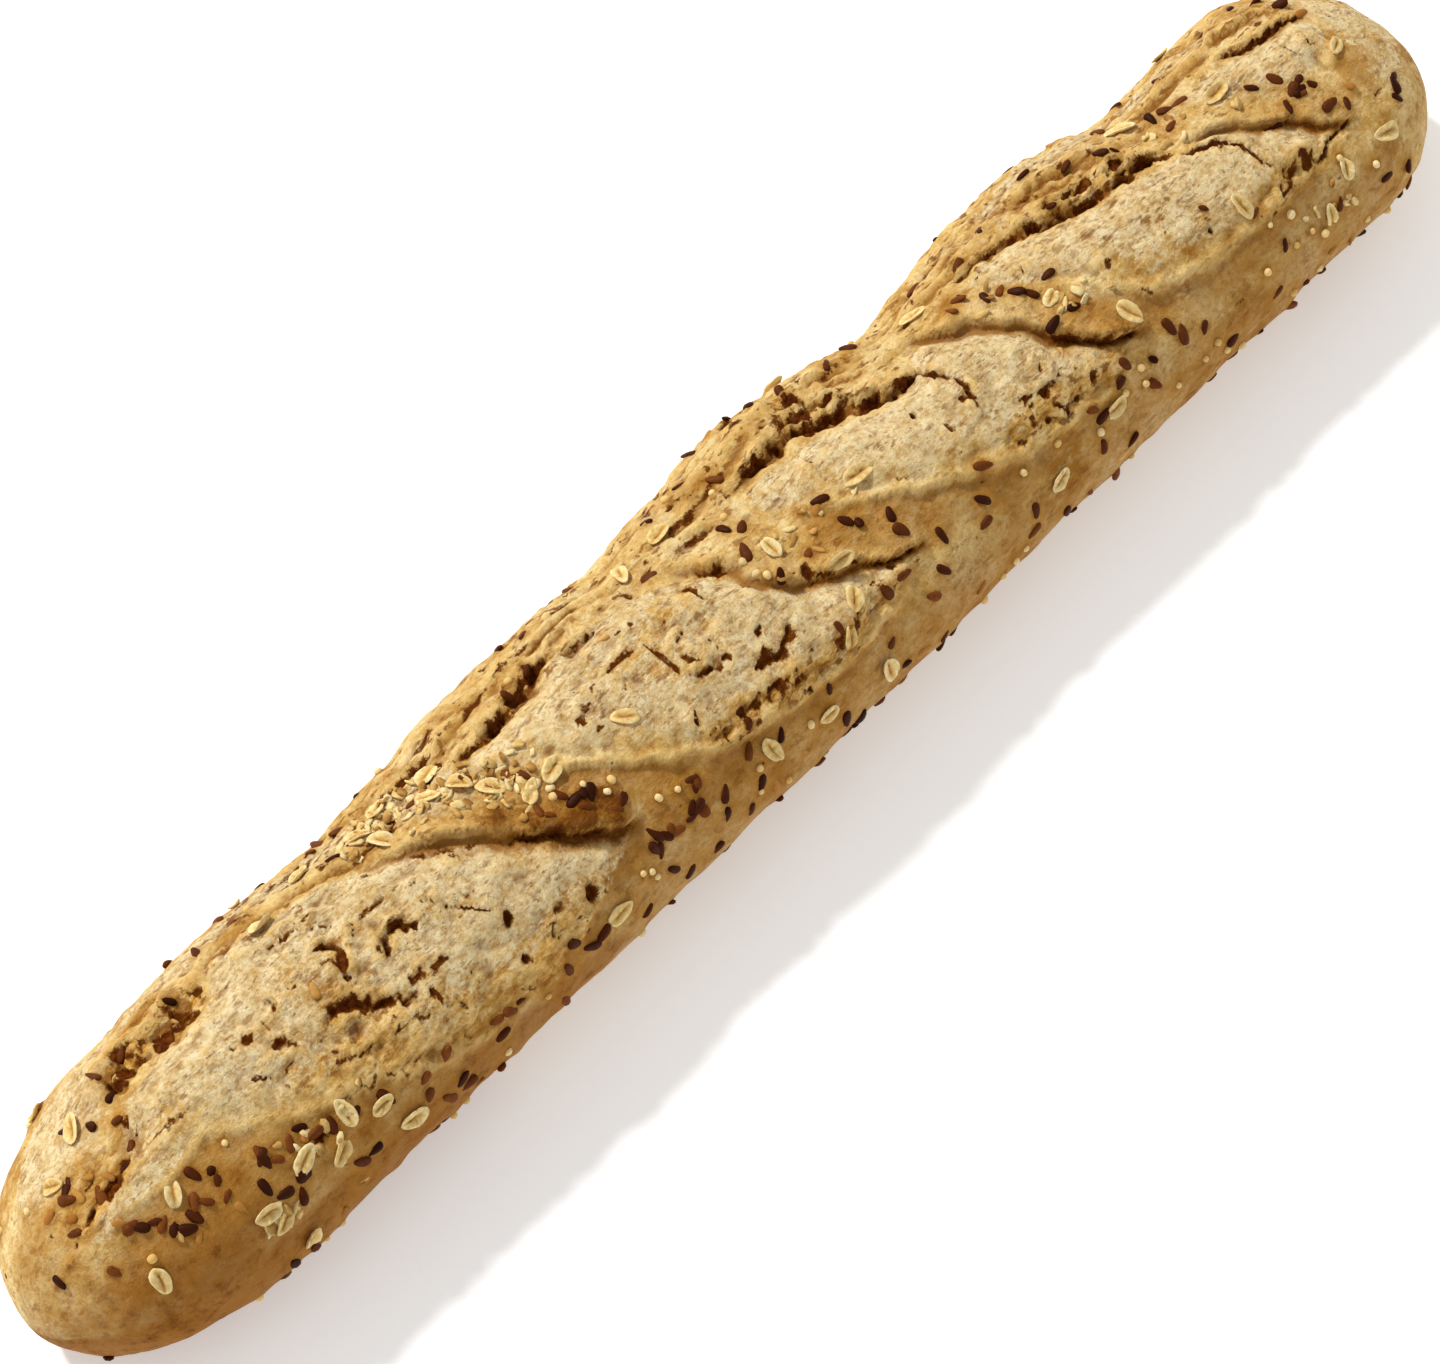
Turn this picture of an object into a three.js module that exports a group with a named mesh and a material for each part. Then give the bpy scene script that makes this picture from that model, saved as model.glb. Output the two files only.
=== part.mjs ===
// A seeded multigrain baguette: one loaf with five slanting slashes that opened in the oven, and the oat flakes
// baked onto its crust.
//
// Millimetres, +Z up. The loaf lies along X with its blunt end towards +X, and stands on the flat of its underside
// at Z = 0. A place on the crust is written [x, degrees]: x along the loaf, and degrees round it from the crown,
// positive towards +Y. The origin is the middle of the underside of the whole object's box.

import * as THREE from "three";
import { mergeVertices } from "three/addons/utils/BufferGeometryUtils.js";

// Driving dimensions of the loaf.
const LENGTH = 480;
const HALF_WIDTH = 35.9;
const WAIST_HEIGHT = 23; // how high the widest line of the side runs
const CROWN_RISE = 27; // from the waist up to the crown
const BELLY_DROP = 29; // from the waist down to the belly, before the oven floor flattens it
const NEAR_CAP = 50; // length of the rounded end at -X
const FAR_CAP = 38; // length of the blunter end at +X
const TIP_DROOP = 7; // the tips sink towards the oven floor
const TIP_SWING = 2.5; // and swing a little towards -Y

// Mesh density. The rings crowd a little towards the ends, and the columns towards the slashed crown.
const RINGS = 100;
const COLUMNS = 40;
const RING_CROWDING = 0.04;
const COLUMN_CROWDING = 0.35;
const COLUMN_CENTRE = -12; // degrees

// How far the +Y side stands out of, or pulls in from, the plain oval: [x, mm].
const SIDE_SWELL = [
  [-240, -3.5], [-190, -2.8], [-165, -1], [-145, -0.5], [-113, -2.5], [-92, -1.2], [-70, 1.8],
  [-40, 1.9], [-20, 0.3], [0, 2.8], [30, 5], [50, 2.5], [76, -2.4], [92, -1], [110, 1.2],
  [133, 2], [148, -0.5], [163, -4.2], [185, -2.8], [205, -3], [240, -3.8],
];
const SWELL_STARTS = 15; // degrees
const SWELL_FULL = 55;
const SWELL_FADES = 120;
const SWELL_ENDS = 165;

// The five openings. Each is the pale stretch between an upper edge, where the crust tore and lifted, and a lower
// edge, where it stretched. lift is how far the crumb has risen in the middle.
const OPENINGS = [
  {
    lift: 2.6,
    upper: [[-221, -3], [-210, 3], [-197, 20], [-175, 21], [-160, 30], [-145, 34], [-125, 27], [-113, 12],
      [-90, -8], [-66, -41]],
    lower: [[-221, -6], [-205, -7], [-185, -18], [-172, -33], [-155, -45], [-140, -60], [-120, -69],
      [-100, -66], [-66, -42]],
  },
  {
    lift: 3,
    upper: [[-86, 25], [-62, 26], [-50, 30], [-20, 25], [-8, 18], [1, -8], [22, -32], [43, -46]],
    lower: [[-86, 21], [-71, -5], [-48, -38], [-33, -47], [0, -57], [30, -50], [43, -47]],
  },
  {
    lift: 3.4,
    upper: [[12, 27], [35, 26], [50, 18], [64, 12], [78, 16], [95, -2], [108, -28], [114, -39]],
    lower: [[12, 24], [26, -8], [50, -31], [75, -44], [90, -50], [103, -49], [114, -41]],
  },
  {
    lift: 3.4,
    upper: [[90, 28], [102, 29], [127, 19], [152, 10], [168, 1], [188, -22], [203, -37]],
    lower: [[90, 25], [104, -3], [121, -27], [147, -41], [175, -42], [203, -39]],
  },
  {
    lift: 2.2,
    upper: [[165, 24], [192, 20], [212, 6], [218, -3]],
    lower: [[165, 21], [182, 6], [203, -14], [218, -6]],
  },
];
const FISSURE_DEPTH = 3; // the torn groove along an upper edge
const FISSURE_WIDTH = 3.4;
const FLAP_RISE = 1.6; // the lifted crust beyond it
const FLAP_REACH = 8;

// The oat flakes that lie on the crust: [x, degrees, turn of the long axis from X in degrees].
const FLAKES = [
  // the near end and the side below the first opening
  [-217, -48, 85], [-219, 19, -50], [-207, 27, 50], [-203, -23, 55], [-190, -55, -10], [-188, -64, 30],
  [-176, -49, 25], [-168, -58, 30], [-162, -46, 85], [-154, -55, 5], [-149, -72, -10], [-184, -85, 60],
  // the upper side of the first opening and the thick cluster on the first bridge
  [-143, 28, 25], [-126, 44, 10], [-111, 33, -30], [-109, 21, -60], [-103, 36, 30], [-94, 21, -45],
  [-89, 31, 20], [-87, 15, -60], [-83, 5, -55], [-78, -7, 30], [-71, -6, 20],
  // the second opening and its lower side
  [-49, -11, -45], [-26, -62, -80], [-8, -71, 0], [-80, -70, 5], [-19, 37, 70], [-5, 37, 10],
  // the second bridge and the third opening
  [8, -2, 85], [36, -5, -10], [18, -22, -5], [13, -37, 50], [6, -48, 60], [12, -78, 90],
  [77, -67, 20], [82, 33, -20],
  // the third bridge and the fourth opening
  [106, -6, 20], [117, -31, -65], [100, -59, 10], [159, -31, -80],
  // the far end
  [190, -52, 70], [206, -53, -15], [180, -66, 80], [179, 8, 0], [211, -10, 20], [157, 29, -45],
  // the side that faces away
  [-205, 78, 40], [-170, 96, -20], [-138, 74, 70], [-96, 88, 15], [-58, 104, -60], [-22, 82, 35],
  [14, 98, 80], [52, 80, -35], [88, 101, 10], [121, 84, 60], [150, 95, -15], [192, 76, 30],
];
const FLAKE_LENGTH = 7.6;
const FLAKE_WIDTH = 5.2;
const FLAKE_THICKNESS = 1.3;
const FLAKE_SIZES = [1, 0.86, 1.08, 0.92]; // flakes take these sizes in turn
const FLAKE_CREASE = 0.25; // depth of the dip in the middle
const FLAKE_SIDES = 10;
const FLAKE_RINGS = 5;
const FLAKE_GAP = 0.35; // clearance between a flake and what it lies on

const MATERIALS = {
  crust: new THREE.MeshStandardMaterial({ color: "#c58f55", roughness: 0.8, metalness: 0 }),
  oat: new THREE.MeshStandardMaterial({ color: "#e6cf9c", roughness: 0.7, metalness: 0 }),
};

const { clamp, degToRad, smoothstep } = THREE.MathUtils;

// The value at x of a curve through [x, value] points, easing from each point to the next.
function valueAt(points, x) {
  const next = points.findIndex(([at]) => at >= x);
  if (next === 0) return points[0][1];
  if (next < 0) return points.at(-1)[1];
  const [x0, v0] = points[next - 1];
  const [x1, v1] = points[next];
  return v0 + (v1 - v0) * smoothstep(x, x0, x1);
}

// 1 along the body of the loaf, falling to 0 at the tips as a quarter ellipse.
function capAt(x) {
  const near = clamp((NEAR_CAP - (x + LENGTH / 2)) / NEAR_CAP, 0, 1);
  const far = clamp((FAR_CAP - (LENGTH / 2 - x)) / FAR_CAP, 0, 1);
  return Math.sqrt(1 - Math.max(near, far) ** 2);
}

// How far the crust stands out of the plain oval at a place, from the openings and the swell of the side.
function reliefAt(x, degrees) {
  const swell = valueAt(SIDE_SWELL, x)
    * smoothstep(degrees, SWELL_STARTS, SWELL_FULL)
    * (1 - smoothstep(degrees, SWELL_FADES, SWELL_ENDS));
  let relief = swell;
  for (const { lift, upper, lower } of OPENINGS) {
    const start = upper[0][0];
    const end = upper.at(-1)[0];
    if (x <= start || x >= end) continue;
    const top = valueAt(upper, x);
    const bottom = valueAt(lower, x);
    const ends = Math.min(1, (x - start) / FLAP_REACH, (end - x) / FLAP_REACH);
    const share = (degrees - bottom) / (top - bottom);
    if (share > 0 && share < 1) relief += lift * ends * Math.sin(Math.PI * share) ** 0.7;
    const slope = (valueAt(upper, x + 2) - valueAt(upper, x - 2)) * degToRad(HALF_WIDTH) / 4;
    const above = (degrees - top) * degToRad(HALF_WIDTH) / Math.hypot(1, slope);
    relief -= FISSURE_DEPTH * ends * Math.exp(-((above / FISSURE_WIDTH) ** 2));
    if (above > 0) relief += FLAP_RISE * ends * Math.exp(-(((above - FISSURE_WIDTH * 2) / FLAP_REACH) ** 2));
  }
  return relief;
}

// The point of the crust at a place.
function crustPoint(x, degrees) {
  const cap = capAt(x);
  const angle = degToRad(degrees);
  const across = Math.sin(angle);
  const up = Math.cos(angle);
  const relief = reliefAt(x, degrees) * cap;
  const y = (HALF_WIDTH * cap + relief) * across - TIP_SWING * (1 - cap);
  const rise = up > 0 ? CROWN_RISE : BELLY_DROP;
  const z = WAIST_HEIGHT - TIP_DROOP * (1 - cap) + (rise * cap + relief) * up;
  return new THREE.Vector3(x, y, Math.max(z, 0));
}

// The loaf's skin: a sphere with its poles at the tips, each of whose points is moved to its place on the crust.
function loafGeometry() {
  const geometry = new THREE.SphereGeometry(1, COLUMNS, RINGS);
  const position = geometry.getAttribute("position");
  const uv = geometry.getAttribute("uv");
  for (let i = 0; i < position.count; i += 1) {
    const ring = uv.getY(i);
    const eased = ring - RING_CROWDING * Math.sin(4 * Math.PI * ring);
    const x = LENGTH * ((1 - Math.cos(Math.PI * ring)) * 0.25 + eased * 0.5 - 0.5);
    const turn = position.getY(i) ** 2 > 1 - 1e-9 ? 0 : 1 - uv.getX(i) * 2;
    const column = turn - (COLUMN_CROWDING / Math.PI) * Math.sin(Math.PI * turn);
    const point = crustPoint(x, column * 180 + COLUMN_CENTRE);
    position.setXYZ(i, point.x, point.y, point.z);
  }
  geometry.deleteAttribute("normal");
  geometry.deleteAttribute("uv");
  return mergeVertices(geometry, 1e-4);
}

// One flake lying flat about the origin with its long side along X: a thin lens, dipped in the middle and bent
// round the crust. round is the way round the loaf, as seen from the flake.
function flakeGeometry(size, round) {
  const geometry = new THREE.SphereGeometry(1, FLAKE_SIDES, FLAKE_RINGS).rotateX(Math.PI / 2);
  const position = geometry.getAttribute("position");
  for (let i = 0; i < position.count; i += 1) {
    const x = position.getX(i) * FLAKE_LENGTH * size / 2;
    const y = position.getY(i) * FLAKE_WIDTH * size / 2;
    const dip = FLAKE_CREASE * Math.max(0, position.getZ(i)) ** 3;
    const bend = (x * round.x + y * round.y) ** 2 / (2 * HALF_WIDTH);
    position.setXYZ(i, x, y, position.getZ(i) * FLAKE_THICKNESS / 2 - dip - bend);
  }
  geometry.deleteAttribute("normal");
  geometry.deleteAttribute("uv");
  return mergeVertices(geometry, 1e-4);
}

// Lays a flake on the crust, and on any flake that is already there, so that it clears them by FLAKE_GAP.
function layFlake(flake, at, under) {
  const { x, degrees, turn } = at;
  const point = crustPoint(x, degrees);
  const along = crustPoint(x + 2, degrees).sub(crustPoint(x - 2, degrees)).normalize();
  const round = crustPoint(x, degrees + 3).sub(crustPoint(x, degrees - 3)).normalize();
  const normal = new THREE.Vector3().crossVectors(along, round).normalize();
  round.crossVectors(normal, along);
  const spin = degToRad(turn);
  const long = along.clone().multiplyScalar(Math.cos(spin)).addScaledVector(round, Math.sin(spin));
  const wide = new THREE.Vector3().crossVectors(normal, long);
  flake.quaternion.setFromRotationMatrix(new THREE.Matrix4().makeBasis(long, wide, normal));
  flake.position.copy(point);
  flake.updateMatrixWorld(true);

  const high = 20;
  const down = normal.clone().negate();
  const ray = new THREE.Raycaster();
  const corner = new THREE.Vector3();
  const position = flake.geometry.getAttribute("position");
  let rise = 0;
  for (let i = 0; i < position.count; i += 1) {
    for (const inset of [1, 0.6]) {
      corner.fromBufferAttribute(position, i);
      corner.x *= inset;
      corner.y *= inset;
      corner.applyMatrix4(flake.matrixWorld);
      ray.set(corner.clone().addScaledVector(normal, high), down);
      const [hit] = ray.intersectObjects(under, false);
      if (hit) rise = Math.max(rise, high - hit.distance);
    }
  }
  flake.position.addScaledVector(normal, rise + FLAKE_GAP);
  flake.updateMatrixWorld(true);
}

const loaf = new THREE.Mesh(loafGeometry(), MATERIALS.crust);
loaf.name = "loaf";

const flakes = FLAKES.map(([x, degrees, turn], i) => {
  const size = FLAKE_SIZES[i % FLAKE_SIZES.length];
  const spin = degToRad(turn);
  const round = new THREE.Vector2(Math.sin(spin), Math.cos(spin));
  const flake = new THREE.Mesh(flakeGeometry(size, round), MATERIALS.oat);
  flake.name = `oat_flake_${String(i + 1).padStart(2, "0")}`;
  return flake;
});
const under = [loaf];
loaf.updateMatrixWorld(true);
flakes.forEach((flake, i) => {
  const [x, degrees, turn] = FLAKES[i];
  layFlake(flake, { x, degrees, turn }, under);
  under.push(flake);
});

const bread = new THREE.Group();
bread.add(loaf, ...flakes);
const box = new THREE.Box3().setFromObject(bread, true);
const middle = box.getCenter(new THREE.Vector3());
bread.position.set(-middle.x, -middle.y, -box.min.z);

const baguette = new THREE.Group();
baguette.add(bread);

export default baguette;
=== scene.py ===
import bpy
import numpy as np
from mathutils import Matrix, Vector


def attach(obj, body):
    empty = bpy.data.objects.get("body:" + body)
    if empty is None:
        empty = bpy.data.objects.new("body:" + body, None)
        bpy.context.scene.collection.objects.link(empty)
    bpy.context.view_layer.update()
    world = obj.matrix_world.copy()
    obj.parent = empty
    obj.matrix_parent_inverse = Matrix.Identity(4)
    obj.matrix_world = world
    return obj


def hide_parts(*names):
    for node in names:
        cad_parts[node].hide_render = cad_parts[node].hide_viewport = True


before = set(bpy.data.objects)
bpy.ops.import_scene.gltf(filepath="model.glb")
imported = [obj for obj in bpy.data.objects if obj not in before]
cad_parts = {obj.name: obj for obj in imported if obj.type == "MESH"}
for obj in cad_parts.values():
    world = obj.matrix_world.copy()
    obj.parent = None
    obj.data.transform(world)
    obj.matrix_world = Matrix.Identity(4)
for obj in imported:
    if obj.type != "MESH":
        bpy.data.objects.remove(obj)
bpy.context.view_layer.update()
scene = bpy.context.scene
print("frame loaded")

# Shapes are worked out in millimetres and put into the meshes in metres. A place on the crust is
# [x, degrees]: x along the loaf, and degrees round it from the crown, positive towards +Y.

loafShape = {
    "length": 480,
    "halfWidth": 35.9,
    "waistHeight": 23,  # height of the widest line
    "crownRise": 27,
    "bellyDrop": 29,
    "nearCap": 50,  # length of the rounded end at -X
    "farCap": 38,
    "tipDroop": 7,
    "tipSwing": 2.5,
    "middleY": -1.87,  # the loaf's own middle line in the frame
    "rings": [78, 490, 66],  # rings over the near end, the body and the far end
    "columns": 152,
    "columnCrowding": 0.45,  # 0 is even, towards 1 crowds them round the crown
    "columnCentre": -12,
    "girth": 34,  # millimetres for one radian round the crust
}

# how far the +Y side stands out of, or pulls in from, the plain oval: [x, mm]
sideSwell = [
    [-240, -3.5], [-190, -2.8], [-165, -1], [-145, -0.5], [-113, -2.5], [-92, -1.2], [-70, 1.8],
    [-40, 1.9], [-20, 0.3], [0, 2.8], [30, 5], [50, 2.5], [76, -2.4], [92, -1], [110, 1.2],
    [133, 2], [148, -0.5], [163, -4.2], [185, -2.8], [205, -3], [240, -3.8],
]


# eased step: 0 below low, 1 above high, 3t^2 - 2t^3 between
def ease(value, low, high):
    t = np.clip((value - low) / (high - low), 0, 1)
    return t * t * (3 - 2 * t)


# bell: exp(-(value / width)^2)
def bell(value, width):
    return np.exp(-((value / width) ** 2))


# 1 up to zero and exp(-value / reach) beyond it
def decay(value, reach):
    return np.exp(-np.maximum(value, 0) / reach)


# curve through [x, value] points, easing from each to the next
def easedCurve(points, x):
    xs, values = np.array(points, float).T
    i = np.clip(np.searchsorted(xs, x) - 1, 0, len(xs) - 2)
    return values[i] + (values[i + 1] - values[i]) * ease((x - xs[i]) / (xs[i + 1] - xs[i]), 0, 1)


# value noise from -1 to 1: random numbers on the corners of a lattice of that size, eased between the corners
def softNoise(points, size, seed):
    cells = np.floor(points / size).astype(np.int64)
    part = points / size - cells
    part = part * part * (3 - 2 * part)
    table = np.random.default_rng(seed).uniform(-1, 1, 4096)
    total = np.zeros(len(points))
    for corner in np.ndindex(2, 2, 2):
        key = (cells + corner) @ np.array([73856093, 19349663, 83492791])  # large primes spread the corners
        key = (key ^ (key >> 15)) * 668265263
        key = (key ^ (key >> 13)) & (len(table) - 1)
        total += np.prod(np.where(corner, part, 1 - part), axis=1) * table[key]
    return total


# noise of several sizes, each half the size and a bit over half the height of the one before
def roughNoise(points, size, seed, layers=3):
    return sum(softNoise(points, size / 2**i, seed + i) * 0.55**i for i in range(layers))


# millimetres round the crust for degrees, and back
def toGirth(degrees):
    return np.radians(degrees) * loafShape["girth"]


def fromGirth(length):
    return np.degrees(length / loafShape["girth"])


# places in [x, degrees] as places on the unrolled crust, in millimetres
def unrolled(places):
    places = np.array(places, float).reshape(-1, 2)
    return np.stack([places[:, 0], toGirth(places[:, 1])], 1)


# a line or ring of places with its corners cut twice, on the unrolled crust
def smoothLine(points, closed=False):
    line = unrolled(points)
    for _ in range(2):
        after = np.roll(line, -1, axis=0) if closed else line[1:]
        before = line if closed else line[:-1]
        cut = np.stack([before * 0.75 + after * 0.25, before * 0.25 + after * 0.75], 1).reshape(-1, 2)
        line = cut if closed else np.vstack([line[:1], cut, line[-1:]])
    return np.vstack([line, line[:1]]) if closed else line


# for each place: distance to the line, positive on its left hand, and the share of the line's length at the
# nearest point
def nearLine(place, points, closed=False):
    line = smoothLine(points, closed)
    lengths = np.hypot(*np.diff(line, axis=0).T)
    starts = np.concatenate([[0], np.cumsum(lengths)])
    x, s = place
    nearest = np.full(x.shape, 1e9)
    side = np.ones(x.shape)
    along = np.zeros(x.shape)
    for (x0, s0), (x1, s1), start, length in zip(line, line[1:], starts, lengths):
        dx = (x1 - x0) / length
        ds = (s1 - s0) / length
        run = np.clip((x - x0) * dx + (s - s0) * ds, 0, length)
        ex = x - x0 - run * dx
        es = s - s0 - run * ds
        away = ex * ex + es * es
        closer = away < nearest
        nearest[closer] = away[closer]
        side[closer] = np.where(dx * es - ds * ex >= 0, 1, -1)[closer]
        along[closer] = ((start + run) / starts[-1])[closer]
    return np.sqrt(nearest) * side, along


# depth inside a ring, negative outside: distance to the ring, signed by how often a line to the right
# crosses it
def depthInside(place, points):
    away = np.abs(nearLine(place, points, closed=True)[0])
    ring = smoothLine(points, closed=True)
    x, s = place
    inside = np.zeros(x.shape, bool)
    for (x0, s0), (x1, s1) in zip(ring, ring[1:]):
        if s0 != s1:
            inside ^= ((s0 > s) != (s1 > s)) & (x < x0 + (s - s0) * (x1 - x0) / (s1 - s0))
    return np.where(inside, away, -away)


# fades a feature in and out at the ends of its line
def fadeEnds(along, share=0.12):
    return ease(along, 0, share) * (1 - ease(along, 1 - share, 1))


# The five openings: how far the crumb swells out and how lumpy it is, how high the ridge of stretched
# crust below it stands, the outline of the pale crumb, and the tears above it as [half width, depth, line].
openings = [
    {
        "lift": 1.6, "lumps": 0.9, "ridgeRise": 0.45,
        "outline": [
            [-224, -14], [-216, -3], [-206, 3], [-202, 10], [-196, 19], [-180, 20], [-165, 22], [-160, 34],
            [-152, 39], [-136, 34], [-122, 25], [-112, 13], [-102, 8], [-92, -6], [-84, -19], [-75, -31],
            [-66, -41], [-61, -43], [-75, -55], [-90, -66], [-102, -72], [-115, -68], [-127, -65],
            [-140, -55], [-152, -44], [-165, -37], [-175, -29], [-183, -21], [-190, -16], [-198, -17],
            [-206, -18], [-214, -15], [-221, -21],
        ],
        "tears": [
            [4.2, 2.6, [[-196, 19], [-191, 28], [-185, 32], [-178, 28], [-170, 29], [-162, 35]]],
        ],
        "ridge": [
            [-222, -22], [-214, -15], [-206, -18], [-198, -17], [-190, -16], [-183, -21], [-175, -29],
            [-165, -37], [-152, -45], [-140, -56], [-127, -66], [-115, -69], [-102, -73], [-88, -66],
        ],
    },
    {
        "lift": 2, "lumps": 0.9, "ridgeRise": 0.95,
        "outline": [
            [-86, 26], [-80, 22], [-70, 20], [-56, 25], [-50, 31], [-38, 29], [-28, 28], [-21, 25],
            [-12, 18], [-6, 10], [-2, -2], [2, -14], [9, -20], [15, -27], [24, -33], [32, -40], [42, -44],
            [30, -50], [18, -54], [5, -53], [-7, -57], [-19, -52], [-31, -47], [-37, -44], [-45, -37],
            [-52, -27], [-62, -17], [-71, -3], [-79, 2], [-84, 12],
        ],
        "tears": [
            [1.8, 1.5, [[-84, 24], [-76, 24], [-70, 22], [-62, 27], [-54, 31], [-47, 35]]],
            [0.8, 1, [[-46, 25], [-42, 25], [-37, 23]]],
        ],
        "ridge": [
            [-82, 4], [-71, -3], [-62, -17], [-52, -27], [-45, -37], [-37, -44], [-31, -47], [-19, -52],
            [-7, -57], [5, -54], [18, -55], [32, -50],
        ],
    },
    {
        "lift": 2.6, "lumps": 0.35, "ridgeRise": 0.85,
        "outline": [
            [16, 25], [32, 24], [45, 20], [51, 15], [61, 11], [67, 8], [70, 18], [76, 20], [82, 13],
            [87, 9], [95, -6], [101, -21], [107, -31], [115, -39], [120, -42], [108, -48], [95, -50],
            [80, -46], [72, -41], [62, -37], [55, -31], [44, -24], [32, -12], [20, 2], [12, 16],
        ],
        "tears": [
            [2.1, 2.8, [[17, 29], [26, 29], [34, 30], [42, 26], [50, 21], [58, 15], [66, 12], [70, 6]]],
            [1.3, 1.6, [[34, 36], [44, 33], [52, 28]]],
        ],
        "ridge": [
            [16, 8], [20, 2], [32, -12], [44, -24], [55, -31], [62, -37], [72, -41], [82, -46], [95, -50],
            [108, -48],
        ],
    },
    {
        "lift": 2.6, "lumps": 0.35, "ridgeRise": 0.85,
        "outline": [
            [92, 25], [106, 26], [119, 20], [124, 16], [134, 12], [145, 8], [153, 5], [160, 1], [169, 1],
            [175, -6], [182, -15], [190, -25], [195, -33], [200, -37], [186, -41], [178, -42], [165, -42],
            [147, -40], [136, -37], [127, -31], [115, -15], [104, 2], [96, 16],
        ],
        "tears": [
            [1.7, 2.3, [
                [93, 29], [101, 29], [108, 27], [118, 25], [125, 19], [134, 14], [144, 12], [153, 11],
                [159, 3],
            ]],
            [0.8, 0.8, [[122, 27], [130, 24], [141, 19], [151, 18]]],
        ],
        "ridge": [
            [104, 2], [115, -15], [127, -31], [136, -37], [147, -40], [160, -42], [175, -42], [188, -41],
        ],
    },
    {
        "lift": 1.6, "lumps": 0.4, "ridgeRise": 0.7,
        "outline": [
            [169, 20], [186, 19], [202, 15], [211, 9], [216, 2], [212, -10], [203, -15], [192, -12],
            [183, -5], [176, 6],
        ],
        "tears": [
            [0.8, 0.7, [[186, 21], [194, 19], [202, 16], [214, 8]]],
        ],
        "ridge": [[205, -14], [210, -12], [214, -7]],
    },
]

# The strips of crust left between the openings overhang the opening on their -X side: height and overhang
# of the lip, depth of the groove under it, how far back the rise runs, how far the painted brown shade under
# it spreads, the shares of its length over which it fades in and out, and how browned it is.
lips = [
    {
        "line": [
            [-122, 27], [-110, 12], [-102, 8], [-92, -6], [-84, -19], [-75, -31], [-66, -41], [-59, -44],
        ],
        "height": 2.6, "overhang": 1, "groove": 2, "reach": 13, "shade": 5.5,
        "fade": (0.4, 0.1), "browned": 1.2,
    },
    {
        "line": [
            [-24, 31], [-12, 22], [-6, 14], [-2, 1], [2, -14], [9, -20], [15, -27], [24, -33], [32, -40],
            [42, -44],
        ],
        "height": 1.5, "overhang": 0.7, "groove": 1.5, "reach": 13, "shade": 1.8,
        "fade": (0.34, 0.12), "browned": 0.25,
    },
    {
        "line": [
            [68, 29], [75, 25], [82, 14], [87, 10], [95, -6], [101, -21], [107, -31], [115, -39],
            [122, -42],
        ],
        "height": 2.3, "overhang": 1.2, "groove": 1.9, "reach": 13, "shade": 2.2,
        "fade": (0.3, 0.12), "browned": 0.4,
    },
    {
        "line": [[158, 5], [169, 1], [175, -6], [182, -15], [190, -25], [195, -33], [202, -37]],
        "height": 1.8, "overhang": 1, "groove": 1.4, "reach": 11, "shade": 1.8,
        "fade": (0.25, 0.15), "browned": 0.2,
    },
]
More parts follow.
